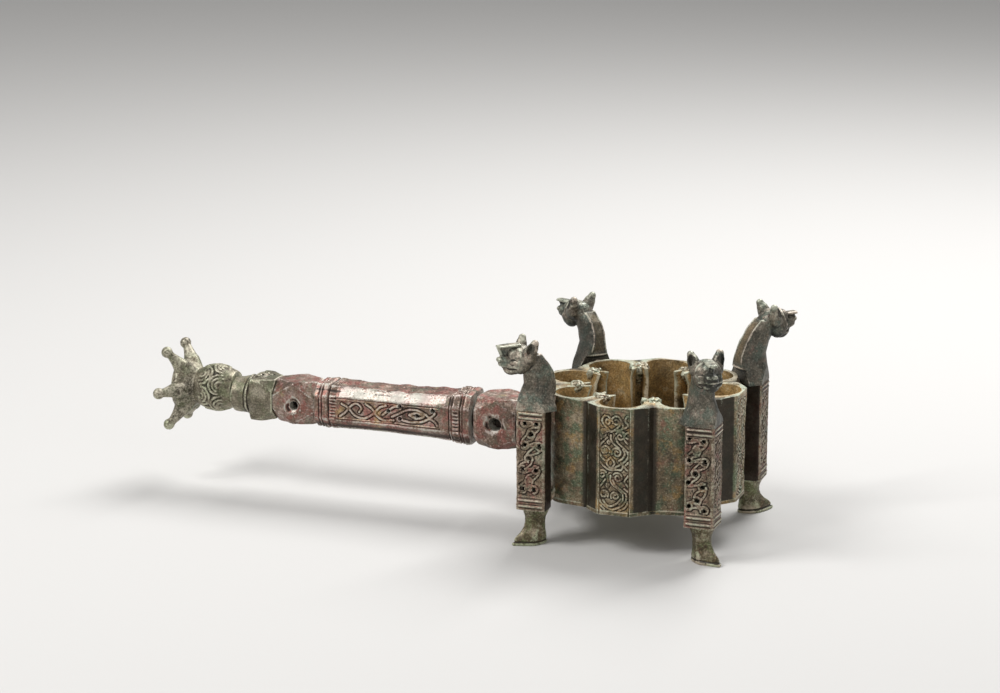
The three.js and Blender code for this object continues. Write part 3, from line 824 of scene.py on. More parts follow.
class BURNER_OT_lobe_walls(bpy.types.Operator):
    """Make the eight C-shaped lobe walls of the bowl"""

    bl_idname = "burner.lobe_walls"
    bl_label = "Lobe walls"

    def execute(self, context):
        top = RIM_TOP - RIM_ROUND
        for lobe, node in enumerate(LOBE_NODES):
            decorated = lobe % 2 == 0
            half = np.vstack([outer_half(decorated), inner_half()])
            rows = round((RIM_TOP - FLOOR_TOP) / (PANEL_STEP * 1.1 if decorated else OUTLINE_STEP))
            bm = raised(np.vstack([half, mirrored(half)]), FLOOR_TOP, top, rows)
            soften_cap(bm, top, [(0.1, 0.28), (0.18, 0.2), (0.28, 0.12)])
            mesh = mesh_from(bm)
            lines = [line * [-1 if lobe in MIRRORED_PANELS else 1, 1] for line in VINE]
            co = places_of(mesh)
            put_places(mesh, shape_bowl(co, lobe, decorated, lines))
            notes = bowl_notes(co, decorated, lines)
            name = node.replace("lobe_wall", "cast_lobe")
            finish_piece(name, mesh, "bowl_bronze", [node], 0.15, **notes)
        return {"FINISHED"}


class BURNER_OT_floor_plate(bpy.types.Operator):
    """Make the floor plate that closes the bowl"""

    bl_idname = "burner.floor_plate"
    bl_label = "Floor plate"

    def execute(self, context):
        lobes = []
        for lobe in range(LOBES):
            half = outer_half(lobe % 2 == 0)
            whole = np.vstack([np.array([seam_point(NOTCH)]) * [1, -1], mirrored(half), half])
            lobes.append(turned(whole, lobe * LOBE_TURN))
        bottom = BOWL_BOTTOM + FLOOR_ROUND
        bm = raised(np.vstack(lobes), bottom, FLOOR_TOP, 7)
        soften_cap(bm, bottom, [(0.1, 0.25), (0.25, 0.15), (0.5, 0.1)])
        mesh = mesh_from(bm)
        co = places_of(mesh)
        lobe_of = np.round(np.arctan2(co[:, 1], co[:, 0]) / LOBE_TURN).astype(int) % LOBES
        shaped = co.copy()
        for lobe in range(LOBES):
            mine = lobe_of == lobe
            shaped[mine] = shape_bowl(turned(co[mine], -lobe * LOBE_TURN), lobe, lobe % 2 == 0, VINE)
        put_places(mesh, shaped)
        inside = smoothstep(normals_of(mesh)[:, 2], 0.5, 0.8)
        finish_piece("cast_floor", mesh, "bowl_inside", ["floor_plate"], rubbed_and_highlit=(0.5, 0), inside=inside,
                     recess_and_shade=0.25 * (1 - inside), look="bowl_bronze")
        return {"FINISHED"}


class BURNER_OT_rim_cusps(bpy.types.Operator):
    """Make the small carved lumps where two lobes meet inside the rim"""

    bl_idname = "burner.rim_cusps"
    bl_label = "Rim cusps"

    def execute(self, context):
        bm = bmesh.new()
        up = Vector((0, 0, 1))
        for seam in range(LOBES):
            angle = (2 * seam + 1) * SEAM
            out = Vector((math.cos(angle), math.sin(angle), 0))
            across = Vector((-math.sin(angle), math.cos(angle), 0))
            top = BOWL + out * CUSP_RING + up * (RIM_TOP - 2.6)
            rod(bm, top, top - up * 7.0 + out * 2.2, 3.6, 1.4)
            blob(bm, top - out * 1.9 + up * 0.1, (2.4, 2.8, 2.3))
            for side in (-1, 1):
                tip = top + across * side * 3.4 - out * 0.8 + up * 1.5
                rod(bm, top + across * side * 1.8, tip, 2.3, 1.7)
        mesh = fused(bm, 0.32, 2)
        co = places_of(mesh)
        rough = ripple(co, 1.5, 21, 14)
        put_places(mesh, co + normals_of(mesh) * (0.24 * rough)[:, None])
        recess_and_shade = 0.35 * smoothstep(-rough, 0.3, 1.2)
        finish_piece("rim_cusps", mesh, "bowl_bronze", [], 0.22, (1, 0.3), recess_and_shade)
        return {"FINISHED"}


# Legs

def stand_leg(co, corner):
    """Local places of a leg, its X pointing away from the bowl, turned into its corner."""
    away = co + [LEG_REACH, 0, 0]
    return turned(away, math.radians(LEGS[corner]["angle"])) + [BOWL.x, BOWL.y, 0]


def box_corners(grow=0.0, cut_face=BOX_CUT_FACE):
    corner = BOX_SIDE / math.sqrt(2) + grow * math.sqrt(2)
    cut = corner - cut_face
    return [(corner, 0), (0, corner), (-cut_face, cut), (-cut_face, -cut), (0, -corner)]


def box_outline():
    """The box in plan with softened corners, the two outward faces finely divided."""
    corners = [np.array(point, float) for point in box_corners()]
    lines = []
    for i, corner in enumerate(corners):
        before, after = corners[i - 1], corners[(i + 1) % len(corners)]
        back = unit(before - corner)
        ahead = unit(after - corner)
        soft = 1.7 if i in (0, 1, 4) else 0.7
        start, end = corner + ahead * soft, after - ahead * soft
        arc = through([corner + back * soft, corner + (back + ahead) * soft * 0.22, start], 3)
        straight = resampled([start, end], BOX_STEP if i in (0, 4) else 0.9)
        lines.extend([arc[:-1], straight])
    return np.vstack(lines)


# Pierced holes and extra curls of the faces that the photograph shows: across, and up from the box's bottom
FACES = {
    ("front_left", 1): {
        "holes": [(-2.8, 43.5), (2.8, 43.5), (0.3, 38), (-2.8, 32.5), (4.4, 32.5), (-0.8, 26),
                  (-3.9, 20.5), (2.8, 20.5), (-3.9, 10.5), (1.8, 10.5)],
        "eyes": [(-0.8, 14.5)],
    },
    ("front_right", -1): {
        "holes": [(-5.0, 43.7), (1.8, 43.0), (-5.0, 33.0), (2.8, 32.8), (-1.8, 26.8), (-5.3, 22.2),
                  (1.8, 20.5), (-0.8, 13.5), (-4.9, 10.6), (2.8, 9.2)],
        "eyes": [(-1.2, 38.0)],
    },
}
OTHER_FACE = {
    "holes": [(-4.4, 44), (2.4, 43.2), (-4.1, 33.3), (3.2, 32.8), (-1.5, 26.8), (-4.7, 21.8),
              (2.1, 20.4), (-3.8, 10.8), (2.8, 9.6)],
    "eyes": [(-0.5, 38.2), (-1.0, 15.2)],
}


def leg_lines(face):
    """Rings round the holes, and strands that swing from one to the next."""
    spots = sorted(face["holes"] + face["eyes"], key=lambda spot: -spot[1])
    rings = [curl(spot, 2.0, 70 + 50 * i, 0.85 if i % 2 else -0.85, 0.9) for i, spot in enumerate(spots)]
    eyes = [curl(spot, 1.0, 0, 1.1, 0.4) for spot in face["eyes"]]
    ties = []
    for i, (a, b) in enumerate(zip(spots, spots[1:])):
        side = 1 if i % 2 else -1
        middle = ((a[0] + b[0]) / 2 + side * 2.6, (a[1] + b[1]) / 2)
        ties.append(through([(a[0] + side * 2.1, a[1] - 0.4), middle, (b[0] + side * 2.0, b[1] + 0.5)]))
        ties.append(through([(a[0] - side * 1.2, a[1] - 1.8), (middle[0] - side * 4.6, middle[1]),
                             (b[0] - side * 1.4, b[1] + 1.7)]))
    return rings + eyes + ties


# The carved field of a leg face: half its width, and how far above the bottom of the box it starts and ends
FACE_HALF = 6.1
FACE_LOW = 6.7
FACE_HIGH = 44.5


def box_carving(co, corner):
    """How deep the carved ground of both outward faces lies, as a share, and which way each face looks."""
    share = np.zeros(len(co))
    way = np.zeros((len(co), 2))
    for side in (1, -1):
        normal = np.array([1, side]) / math.sqrt(2)
        on_face = co[:, :2] @ normal > BOX_SIDE / 2 - 0.9
        local = co[on_face] - [0, 0, BOX_BOTTOM]
        across, up = local[:, :2] @ (np.array([-side, 1]) / math.sqrt(2)), local[:, 2]
        lines = leg_lines(FACES.get((corner, side), OTHER_FACE))
        gap = gap_to(np.stack([across, up], axis=1), lines, 2.0)
        field = smoothstep(FACE_HALF - np.abs(across), 0, 0.4) * between(up, FACE_LOW, FACE_HIGH, 0.4)
        worn = 0.2 * np.abs(ripple(local, 0.85, 32, 14))
        share[on_face] = (sunk(gap) + worn) * field
        way[on_face] = normal
    return share, way


def box_bands(up):
    """Height of the bands round a box, and how deep the grooves beside them lie as a share."""
    height = np.zeros(len(up))
    groove = np.zeros(len(up))
    for low, high in BANDS:
        height += BAND_RISE * between(up, low - 0.2, high + 0.2, 0.45)
        for edge in (low - 0.5, high + 0.5):
            groove = np.maximum(groove, bell(up, edge, 0.3))
    return np.array([height, groove])


def on_flat(co):
    """Whether a place lies on the flat of a face rather than at a corner, as a share."""
    across = np.abs(np.abs(co[:, 1]) - co[:, 0]) / math.sqrt(2)
    return smoothstep(6.5 - across, 0, 0.8)


def shape_box(co, corner):
    """Bands, carved faces and casting unevenness of a leg box."""
    shaped = co.copy()
    share, way = box_carving(co, corner)
    shaped[:, :2] -= way * (relief() * share)[:, None]
    band, groove = on_flat(co) * box_bands(co[:, 2] - BOX_BOTTOM)
    rough = 0.12 * ripple(co, 9, 31 + LEGS[corner]["angle"]) + 0.05 * ripple(co, 1.6, 35)
    shaped[:, :2] += unit(co[:, :2]) * (band - 0.25 * groove + rough)[:, None]
    return shaped


def box_notes(co, corner):
    """Dirt in the carved ground, painted shade in the holes, inside the box and on the side towards the
    bowl, the leg's own painted shade, and bright strands and bands.
    """
    strand, ground = carved_notes(box_carving(co, corner)[0], co)
    up = co[:, 2] - BOX_BOTTOM
    flat = on_flat(co)
    band, groove = flat * box_bands(up)
    reach = (co[:, 0] + np.abs(co[:, 1])) / math.sqrt(2)
    outer = smoothstep(reach, BOX_SIDE / 2 - 1.4, BOX_SIDE / 2 - 0.9)
    shaded_cut_side = smoothstep(-co[:, 0], 4.5, 6.0)
    recess_and_shade = np.maximum(ground, 0.55 * groove)
    # Painted shade in the holes, inside the box and on the shaded_cut_side towards the bowl, and the leg's
    # own painted shade
    recess_and_shade = np.maximum(recess_and_shade * outer, (1 - outer) * (1 - 0.5 * shaded_cut_side))
    recess_and_shade = np.maximum(recess_and_shade, 0.34 * shaded_cut_side) + LEGS[corner]["shade"]
    proud = outer * (strand * (up > FACE_LOW + 0.2) * (up < FACE_HIGH - 0.2) + 0.7 * band)
    edges = outer * (0.3 + 0.34 * flat) + 0.15 * (1 - outer)
    return {"rubbed_and_highlit": (edges, proud * flat * smoothstep(co[:, 0], -5, -1)), "recess_and_shade": recess_and_shade}


def hole_cutter(corner):
    """Round punches for the pierced holes of both outward faces."""
    bm = bmesh.new()
    chance = np.random.default_rng(LEGS[corner]["angle"])
    for side in (1, -1):
        normal = Vector((1, side, 0)).normalized()
        right = Vector((-side, 1, 0)).normalized()
        for across, up in FACES.get((corner, side), OTHER_FACE)["holes"]:
            middle = normal * BOX_SIDE / 2 + right * across + Vector((0, 0, BOX_BOTTOM + up))
            radius = chance.uniform(0.85, 1.1)
            rod(bm, middle - normal * 2.6, middle + normal * 2, radius * 0.9, radius * 1.15, 12, False)
    return mesh_from(bm)


class BURNER_OT_leg_boxes(bpy.types.Operator):
    """Make the four hollow square legs with their bands, carving and pierced holes"""

    bl_idname = "burner.leg_boxes"
    bl_label = "Leg boxes"

    def execute(self, context):
        rows = round((BOX_TOP - BOX_BOTTOM) / BOX_STEP)
        inner = np.array(box_corners(-BOX_WALL, BOX_CUT_FACE - BOX_WALL))
        for corner in LEGS:
            mesh = mesh_from(raised(box_outline(), BOX_BOTTOM, BOX_TOP, rows))
            put_places(mesh, shape_box(places_of(mesh), corner))
            core = mesh_from(raised(inner, BOX_BOTTOM - 1, BOX_TOP + 1, 1))
            mesh = cut(mesh, core, hole_cutter(corner))
            co = places_of(mesh)
            put_places(mesh, stand_leg(co, corner))
            notes = box_notes(co, corner)
            finish_piece("cast_leg_" + corner, mesh, "leg_bronze", ["leg_box_" + corner], 0.15, **notes)
        return {"FINISHED"}


# Heads

NECK = [
    (-1.0, 0.0, 10.6, 10.6),
    (1.8, 0.0, 10.0, 9.9),
    (4.0, 0.1, 9.2, 8.4),
    (7.9, -0.6, 8.3, 6.5),
    (12.4, -1.3, 7.4, 5.4),
    (17.4, -0.4, 7.1, 5.0),
    (22.4, 2.0, 6.7, 5.0),
    (26.9, 5.0, 5.6, 4.8),
]
NECK_BEND = 3.0


def neck_ring(height, middle, deep, wide, count=40):
    """A ring of the neck, round in front and nearly flat at the nape."""
    points = []
    for k in range(count):
        turn = 2 * math.pi * k / count
        reach = math.cos(turn)
        if reach < 0:
            reach = -1.12 * abs(reach) ** 0.45
        points.append((middle + deep * reach, wide * math.sin(turn), height))
    return points


HEAD_VOXEL = 0.31
# The nose plate's height and half width, and the middle of an ear's hollow
PLATE_TOP = 32.9
PLATE_HALF = 1.7
EAR_HOLLOW = (7.4, 7.7, 31.5)


def head_form(brow):
    """Neck, skull, muzzle, upturned nose plate and ears as overlapping bodies, looking along X."""
    bm = bmesh.new()
    lofted(bm, [neck_ring(*row) for row in NECK])
    # Skull, forehead, snout, chin and nose
    blob(bm, (7.6, 0, 25.8), (7.4, 7.0, 5.9))
    rod(bm, (9.0, 0, 26.9), (11.6, 0, 26.8), 5.0, 4.4)
    rod(bm, (12.0, 0, 22.7), (16.8, 0, 24.5), 4.8, 3.3)
    blob(bm, (13.6, 0, 21.0), (3.4, 3.9, 3.3))
    blob(bm, (19.1, 0, 25.8), (1.9, 2.7, 1.4))
    # Plate, its rounded tip that runs down to the nose, and the keel below it
    top = PLATE_TOP + brow
    slab(bm, (9.5, -PLATE_HALF, top - 0.9), (20.8, PLATE_HALF, top))
    rod(bm, (20.3, 0, top - 0.8), (18.0, 0, 27.2), 0.85, 1.0)
    slab(bm, (12, -0.6, 23.5), (18.6, 0.6, top - 0.5))
    for side in (-1, 1):
        # Rolled edge of the plate, cheek, and the root and the tip of an ear
        rod(bm, (9.5, side * 1.9, top - 0.7), (20.3, side * 1.9, top - 0.7), 0.55, 0.55)
        blob(bm, (9.6, side * 3.4, 23.2), (4.8, 3.4, 4.7))
        rod(bm, (6.6, side * 4.6, 26.8), (5.2, side * 6.2, 31.0), 3.7, 2.8)
        rod(bm, (5.2, side * 6.2, 31.0), (4.2, side * 7.0, 33.5), 2.8, 1.9)
    return bm


def ear_hollow(side):
    """The middle of the hollow in the ear on one side."""
    x, y, z = EAR_HOLLOW
    return x, side * y, z


def ear_hollows():
    bm = bmesh.new()
    for side in (-1, 1):
        tilt = Matrix.Rotation(side * 0.7, 4, "Z") @ Matrix.Rotation(-side * 0.25, 4, "X")
        blob(bm, ear_hollow(side), (2.1, 1.2, 2.8), tilt)
    return mesh_from(bm)


# Lines of a head: its mouth and the curl on its cheek as seen from the side, and its two brows
MOUTH = [through([(21.0, 22.4), (17.8, 21.9), (15.2, 21.3), (13.2, 21.2)])]
CHEEK = [curl((14.4, 24.4), 1.9, 215, -1.1, 0.35)]
BROWS = [
    through([(12.6, side * 6.0, 24.4), (11.6, side * 6.3, 26.6), (10.8, side * 5.0, 29.4), (11.0, 0, 31.6)])
    for side in (-1, 1)
]


def carve_head(co, normals):
    """Mouth and lips, cheek curls, brows, and two ridges down the nape."""
    side_view = co[:, [0, 2]]
    mouth = gap_to(side_view, MOUTH, 3)
    height = 0.16 * bell(mouth, 1.15, 0.5) - 0.55 * bell(mouth, 0, 0.42)
    height *= smoothstep(co[:, 0], 8, 11)
    cheek = gap_to(side_view, CHEEK, 3)
    height -= 0.28 * bell(cheek, 0, 0.5) * smoothstep(np.abs(co[:, 1]), 2.6, 3.4)
    height += 0.55 * bell(gap_to(co, BROWS, 3), 0, 0.65) + 0.45 * nape_marks(co)[0]
    return co + normals * height[:, None]


def nape_marks(co):
    """The two ridges down the nape, and the flat between them, as shares."""
    middle, deep, wide = read_off(NECK, co[:, 2], 1, 2, 3)
    behind = smoothstep(middle - 0.55 * deep - co[:, 0], 0, 1) * smoothstep(co[:, 2], 8, 11)
    across = np.abs(co[:, 1]) - 0.62 * wide
    return bell(across, 0, 0.5) * behind, behind * smoothstep(-0.6 - across, 0, 0.5)


def head_notes(co, normals, pose):
    """Pale ears and crown, painted highlights on the nose plate's tip, upward faces and nape ridges, dark
    hollows, and painted shade under the jaw, beside the nose plate, on a shaded snout and flank and over the
    whole head.
    """
    x, y, z = co.T
    high = smoothstep(z, 27, 31)
    upward = smoothstep(normals[:, 2], 0.1, 0.8)
    ridge, nape = nape_marks(co)
    below_skull = 1 - smoothstep(z, 24, 27)
    tip = smoothstep(x, 18.9, 19.7) * smoothstep(z, 30.2, 30.8)
    # Worn crown and ears, with painted highlights on upward faces, along the nape ridges and on the nose
    # plate's tip
    rubbed_and_highlit = 0.22 * high + 0.2 * upward * smoothstep(z, 16, 22) + 0.6 * ridge * below_skull + 0.5 * tip
    # Painted shade under the jaw, beside the nose plate, on the snout and on one flank
    jaw = smoothstep(-normals[:, 2], 0.2, 0.8) * smoothstep(z, 15, 18) * (1 - high)
    beside_plate = between(x, 14.5, 19.4, 1.0, 0.6) * smoothstep(z, 26.6, 27.4) * (1 - upward)
    snout = smoothstep(x, 14.5, 16.5) * smoothstep(31.0 - z, 0, 1) * (1 - tip)
    flank = smoothstep(y, 0.5, 3.5) * (1 - high) * (1 - ridge)
    shaded = pose["snout"]
    recess_and_shade = np.maximum.reduce([0.4 * jaw, 0.3 * beside_plate, shaded * snout, 0.6 * shaded * flank])
    in_ear = np.zeros(len(co))
    for side in (-1, 1):
        away = (co - ear_hollow(side)) / [2.5, 2.5, 2.9]
        in_ear = np.maximum(in_ear, (away**2).sum(axis=1) < 0.95)
    # The leg's painted shade over the whole head, deepest on the low neck
    low_neck = 1 - smoothstep(z, 22, 26)
    return {
        "rubbed_and_highlit": (0.85 - 0.6 * in_ear, rubbed_and_highlit * (recess_and_shade < 0.25) * (1 - in_ear)),
        "recess_and_shade": np.maximum(recess_and_shade, 0.3 * in_ear) + pose["shade"] * (1 + 0.45 * low_neck),
        "inside": 0.5 * nape * below_skull,
    }


def fit_neck(co):
    """The neck's foot is cut to the planes of the box and to its top, and beside the bowl to its rim."""
    fitted = co.copy()
    low = 1 - smoothstep(co[:, 2], 9, 13)
    for side in (1, -1):
        normal = np.array([1, side]) / math.sqrt(2)
        over = np.maximum(fitted[:, :2] @ normal - BOX_SIDE / 2 + 0.05, 0) * low
        fitted[:, :2] -= normal * over[:, None]
    beside = 1 - smoothstep(co[:, 2], 6.2, 7.6)
    fitted[:, 0] += np.maximum(0.15 - BOX_CUT_FACE - fitted[:, 0], 0) * beside
    fitted[:, 2] = np.maximum(fitted[:, 2], 0.02)
    return fitted


def flatten_nape(co):
    """The back of the neck is nearly flat."""
    middle, deep = read_off(NECK, co[:, 2], 1, 2)
    behind = np.maximum(middle - deep * 0.99 - co[:, 0], 0)
    flat = co.copy()
    flat[:, 0] += 0.85 * behind * between(co[:, 2], 7, 30, 3, 4)
    return flat


def pose_head(co, pose):
    """Turns, leans and lifts the head, all growing up the neck."""
    share = smoothstep(co[:, 2], NECK_BEND, NECK[-1][0])
    moved = np.array([pose["lean"], pose["side"], pose["lift"]])
    return turned(co, math.radians(pose["turn"]) * share) + share[:, None] * moved


class BURNER_OT_feline_heads(bpy.types.Operator):
    """Make the four necks and feline heads"""

    bl_idname = "burner.feline_heads"
    bl_label = "Feline heads"

    def execute(self, context):
        for corner, pose in LEGS.items():
            mesh = cut(fused(head_form(pose["brow"]), HEAD_VOXEL, 2), ear_hollows())
            normals = normals_of(mesh)
            co = carve_head(flatten_nape(places_of(mesh)), normals)
            rough = 0.1 * ripple(co, 4, 41 + pose["angle"]) + 0.04 * ripple(co, 1.4, 45)
            co = fit_neck(co + normals * rough[:, None])
            notes = head_notes(co, normals, pose)
            put_places(mesh, stand_leg(pose_head(co, pose) + [0, 0, BOX_TOP], corner))
            node = "feline_head_" + corner
            finish_piece("cast_head_" + corner, mesh, "head_bronze", [node], 0.19, **notes)
        return {"FINISHED"}


# Feet

# Levels of the boot: level, heel, toe, half width, and how pointed the toe end is
BOOT = [
    (0.0, -5.6, 12.3, 4.8, 0.55),
    (0.4, -6.0, 12.9, 5.3, 0.55),
    (1.2, -6.0, 12.9, 5.3, 0.55),
    (1.5, -5.5, 12.0, 4.7, 0.55),
    (1.9, -5.5, 11.4, 4.6, 0.58),
    (2.3, -5.8, 11.9, 4.9, 0.60),
    (3.2, -5.8, 11.6, 4.9, 0.60),
    (4.4, -5.6, 10.4, 4.7, 0.56),
    (6.0, -5.3, 8.2, 4.4, 0.46),
    (8.6, -5.2, 6.1, 4.0, 0.26),
    (11.0, -5.2, 5.2, 4.1, 0.1),
    (13.4, -5.5, 5.1, 4.7, 0.05),
    (16.0, -6.5, 5.8, 5.8, 0.0),
    (18.0, -7.3, 6.6, 6.6, 0.0),
]


def boot_ring(level, heel, toe, half, pointed, reach, count=56):
    """A level of the boot, drawn in towards its toe."""
    toe = toe * reach
    ahead, beside = circle(count).T
    narrow = 1 - pointed * np.clip(ahead, 0, 1) ** 0.9
    x = (heel + toe) / 2 + (toe - heel) / 2 * ahead
    return list(zip(x, half * beside * narrow, [level] * count))


class BURNER_OT_feet(bpy.types.Operator):
    """Make the four booted feet"""

    bl_idname = "burner.feet"
    bl_label = "Feet"

    def execute(self, context):
        levels = np.arange(0, BOOT[-1][0] + 0.01, 0.3)
        rows = list(zip(levels, *read_off(BOOT, levels, 1, 2, 3, 4)))
        for corner, pose in LEGS.items():
            bm = bmesh.new()
            lofted(bm, [boot_ring(*row, pose["reach"]) for row in rows])
            mesh = mesh_from(bm)
            co = places_of(mesh)
            lower = averaged(co, edges_of(mesh), 1, 0.5)
            lower[:, 2] = np.where(co[:, 2] < 0.01, 0, lower[:, 2])
            rough = 0.1 * ripple(co, 5, 51 + pose["angle"]) + 0.04 * ripple(co, 1.5, 55)
            lower += normals_of(mesh) * (rough * smoothstep(co[:, 2], 0, 1))[:, None]
            splay = math.radians(pose["splay"]) * (1 - smoothstep(co[:, 2], 8, 18))
            put_places(mesh, stand_leg(turned(lower, splay), corner))
            sole = between(lower[:, 2], 0.1, 1.4, 0.3)
            above_sole = bell(lower[:, 2], 1.7, 0.35)
            # Pale sole, grime in the groove above it, and the leg's own painted shade
            finish_piece("cast_foot_" + corner, mesh, "foot_bronze", ["foot_" + corner], 0.14,
                         rubbed_and_highlit=(1, 0.6 * sole), recess_and_shade=0.7 * above_sole + pose["shade"])
        return {"FINISHED"}


# Webs

LOBE_FACE = LOBE_RING + LOBE_OUTER - LEG_REACH
WEB_IN = LOBE_FACE - 0.2
WEB_OUT = 0.1 - BOX_CUT_FACE
WEB_HALF = 2.2
# Corners of the webs as seen from the side
WEBS = {
    "upper_web_": [(WEB_IN, RIM_TOP - 15.7), (WEB_OUT, BOX_TOP - 6.6),
                   (WEB_OUT, BOX_TOP - 0.2), (WEB_IN, RIM_TOP - 0.2)],
    "lower_web_": [(WEB_IN, BOWL_BOTTOM + 3), (WEB_OUT, BOX_BOTTOM + 1.2),
                   (WEB_OUT, BOX_BOTTOM + 6), (WEB_IN, BOWL_BOTTOM + 8)],
}


class BURNER_OT_webs(bpy.types.Operator):
    """Make the webs that tie each leg to the bowl"""

    bl_idname = "burner.webs"
    bl_label = "Webs"

    def execute(self, context):
        for corner in LEGS:
            for name, side_view in WEBS.items():
                bm = bmesh.new()
                lofted(bm, [[(x, y, z) for x, z in side_view] for y in (-WEB_HALF, WEB_HALF)])
                bmesh.ops.bevel(bm, geom=bm.edges[:], offset=0.7, segments=3, affect="EDGES",
                                profile=0.5, material=-1)
                bmesh.ops.subdivide_edges(bm, edges=bm.edges[:], cuts=6, use_grid_fill=True)
                mesh = fused(bm, 0.35, 4)
                co = places_of(mesh)
                flare = np.abs(co[:, 0] - (LOBE_FACE - BOX_CUT_FACE) / 2) / 2
                co[:, 1] *= 1 + 0.25 * np.clip(flare, 0, 1.2) ** 2
                co += normals_of(mesh) * (0.12 * ripple(co, 3, 61))[:, None]
                put_places(mesh, stand_leg(co, corner))
                finish_piece("cast_" + name + corner, mesh, "leg_bronze", [name + corner], height=0.2)
        return {"FINISHED"}


# Handle

def eight_sided(sections, widths, fine_facets, step, coarse=0.8):
    """Close rings through eight-sided sections: place along, half size, front and top half width.

    Widths are half widths of the facets, by which they are divided."""
    rows = [section if len(section) == 4 else (*section, section[2]) for section in sections]
    start, end = rows[0][0], rows[-1][0]
    along = np.linspace(start, end, max(2, round((end - start) / step)) + 1)
    facet, share = [], []
    for k in range(8):
        count = max(3, round(2 * widths[k % 4] / (step if k in fine_facets else coarse)))
        facet.extend([k] * count)
        share.extend(np.arange(count) / count)
    facet, share = np.array(facet), np.array(share)[:, None]
    rings = []
    for x, h, f, t in zip(along, *read_off(rows, along, 1, 2, 3)):
        corners = np.array([(h, -f), (h, f), (t, h), (-t, h), (-h, f), (-h, -f), (-t, -h), (t, -h)])
        points = corners[facet] * (1 - share) + corners[(facet + 1) % 8] * share
        rings.append(np.column_stack([np.full(len(points), x), points]))
    return np.array(rings)


def sleeve(rings):
    """A mesh through rings of points, in rows along the handle."""
    count = len(rings[0])
    rows = len(rings) - 1
    mesh = mesh_from(raised(circle(count), 0, rows, rows))
    co = places_of(mesh)
    column = np.round(np.arctan2(co[:, 1], co[:, 0]) / (2 * math.pi) * count).astype(int) % count
    row = np.round(co[:, 2]).astype(int)
    put_places(mesh, rings[row, column])
    if signed_volume(mesh) < 0:
        mesh.flip_normals()
    return mesh


def signed_volume(mesh):
    mesh.calc_loop_triangles()
    p = places_of(mesh)[read_array(mesh.loop_triangles, "vertices", 3, np.int32)]
    return np.einsum("ij,ij->", p[:, 0], np.cross(p[:, 1], p[:, 2]))


BORE = 7.8
COLLAR_BORE = 7.2
KNOB_BORE = 5.2
SHAFT_STEP = 0.32
FACET_STEP = 0.38


def drill(start, end, radius):
    """A round core along the handle's axis, which cuts its bore."""
    bm = bmesh.new()
    rod(bm, (start, 0, 0), (end, 0, 0), radius, radius, 48, False)
    return mesh_from(bm)


def cross_punch(spots):
    """Punches through the handle from front to back: place along, height and radius."""
    bm = bmesh.new()
    for x, z, radius in spots:
        rod(bm, (x, -20, z), (x, 20, z), radius, radius, 14, False)
    return mesh_from(bm)


def place_handle(mesh, rise=0.0):
    put_places(mesh, places_of(mesh) + [BOWL.x, BOWL.y, HANDLE_LEVEL + rise])


def swell(co, height):
    """Places of the handle moved away from its axis by a height for each."""
    swollen = co.copy()
    swollen[:, 1:] += unit(co[:, 1:]) * height[:, None]
    return swollen


def round_rings(profile, step, count):
    """Round rings through a profile of place along and radius."""
    along = np.arange(profile[0][0], profile[-1][0] + step / 2, step)
    radius = read_off(profile, along, 1)[0]
    return np.array([np.column_stack([np.full(count, x), r * circle(count)]) for x, r in zip(along, radius)])


SHAFT = [
    (-170.8, 11.2, 5.6, 6.6), (-164.4, 11.6, 6.0, 7.2), (-163.6, 11.2, 6.0, 7.2), (-157.0, 10.9, 6.1, 7.4),
    (-130.0, 10.7, 6.2, 7.4), (-106.0, 11.3, 6.4, 7.6), (-98.2, 11.7, 6.4, 7.8), (-97.4, 12.3, 6.5, 8.0),
    (-89.4, 13.0, 6.6, 8.4), (-87.2, 12.6, 6.4, 8.2),
]
# Scroll of the shaft's front panel: place along, and up from the axis
SCROLL = [
    through([(-157, -3.8), (-154, -1.5), (-151, 2.0), (-148, 3.6), (-145.4, 1.6), (-146.6, -0.8)]),
    through([(-156, 2.8), (-152.5, 1.0), (-149, -2.6), (-144, -3.8), (-139, -1.0), (-135.5, 2.6),
             (-132, 3.9)]),
    through([(-143, 3.8), (-139.5, 1.6), (-137, -1.8), (-133, -3.8), (-128, -3.4)]),
    through([(-134, -1.0), (-131, 1.4), (-127.5, 3.8), (-124, 3.9)]),
    through([(-129, -1.6), (-125.5, 0.2), (-121, 2.6), (-116, 3.3), (-111, 1.6), (-108.5, -0.4)]),
    through([(-124, -2.6), (-119, -3.2), (-113, -2.6), (-108.5, -0.4), (-105.5, 2.4)]),
    through([(-119.5, 0.4), (-115.3, 1.6), (-111.6, 0.4), (-115.3, -1.2), (-119.5, 0.4)]),
    through([(-108.5, -0.4), (-105.5, -2.2), (-104.4, -3.8)]),
]
SHAFT_HOLES = [
    (-130.8, 1.4, 1.1), (-124.6, 4.2, 1.1), (-124.7, -2.2, 1.2), (-115.3, 0.4, 1.2), (-106.9, 3.8, 1.3),
]
# Ring grooves round the shaft: place along, width and depth
SHAFT_GROOVES = [
    (-168.4, 0.35, 0.6), (-166.9, 0.35, 0.6), (-163.2, 0.4, 0.6), (-97.9, 0.35, 0.6),
    (-96.6, 0.35, 0.5), (-92.0, 0.35, 0.6), (-90.7, 0.35, 0.5),
]
# The carved field of the shaft's panels: from, to, and half its height
SCROLL_FROM = -158.6
SCROLL_TO = -103.4
SCROLL_HALF = 4.7
HATCHES = 44


def shaft_half(x):
    """Half the shaft's thickness at places along it."""
    return read_off(SHAFT, x, 1)[0]


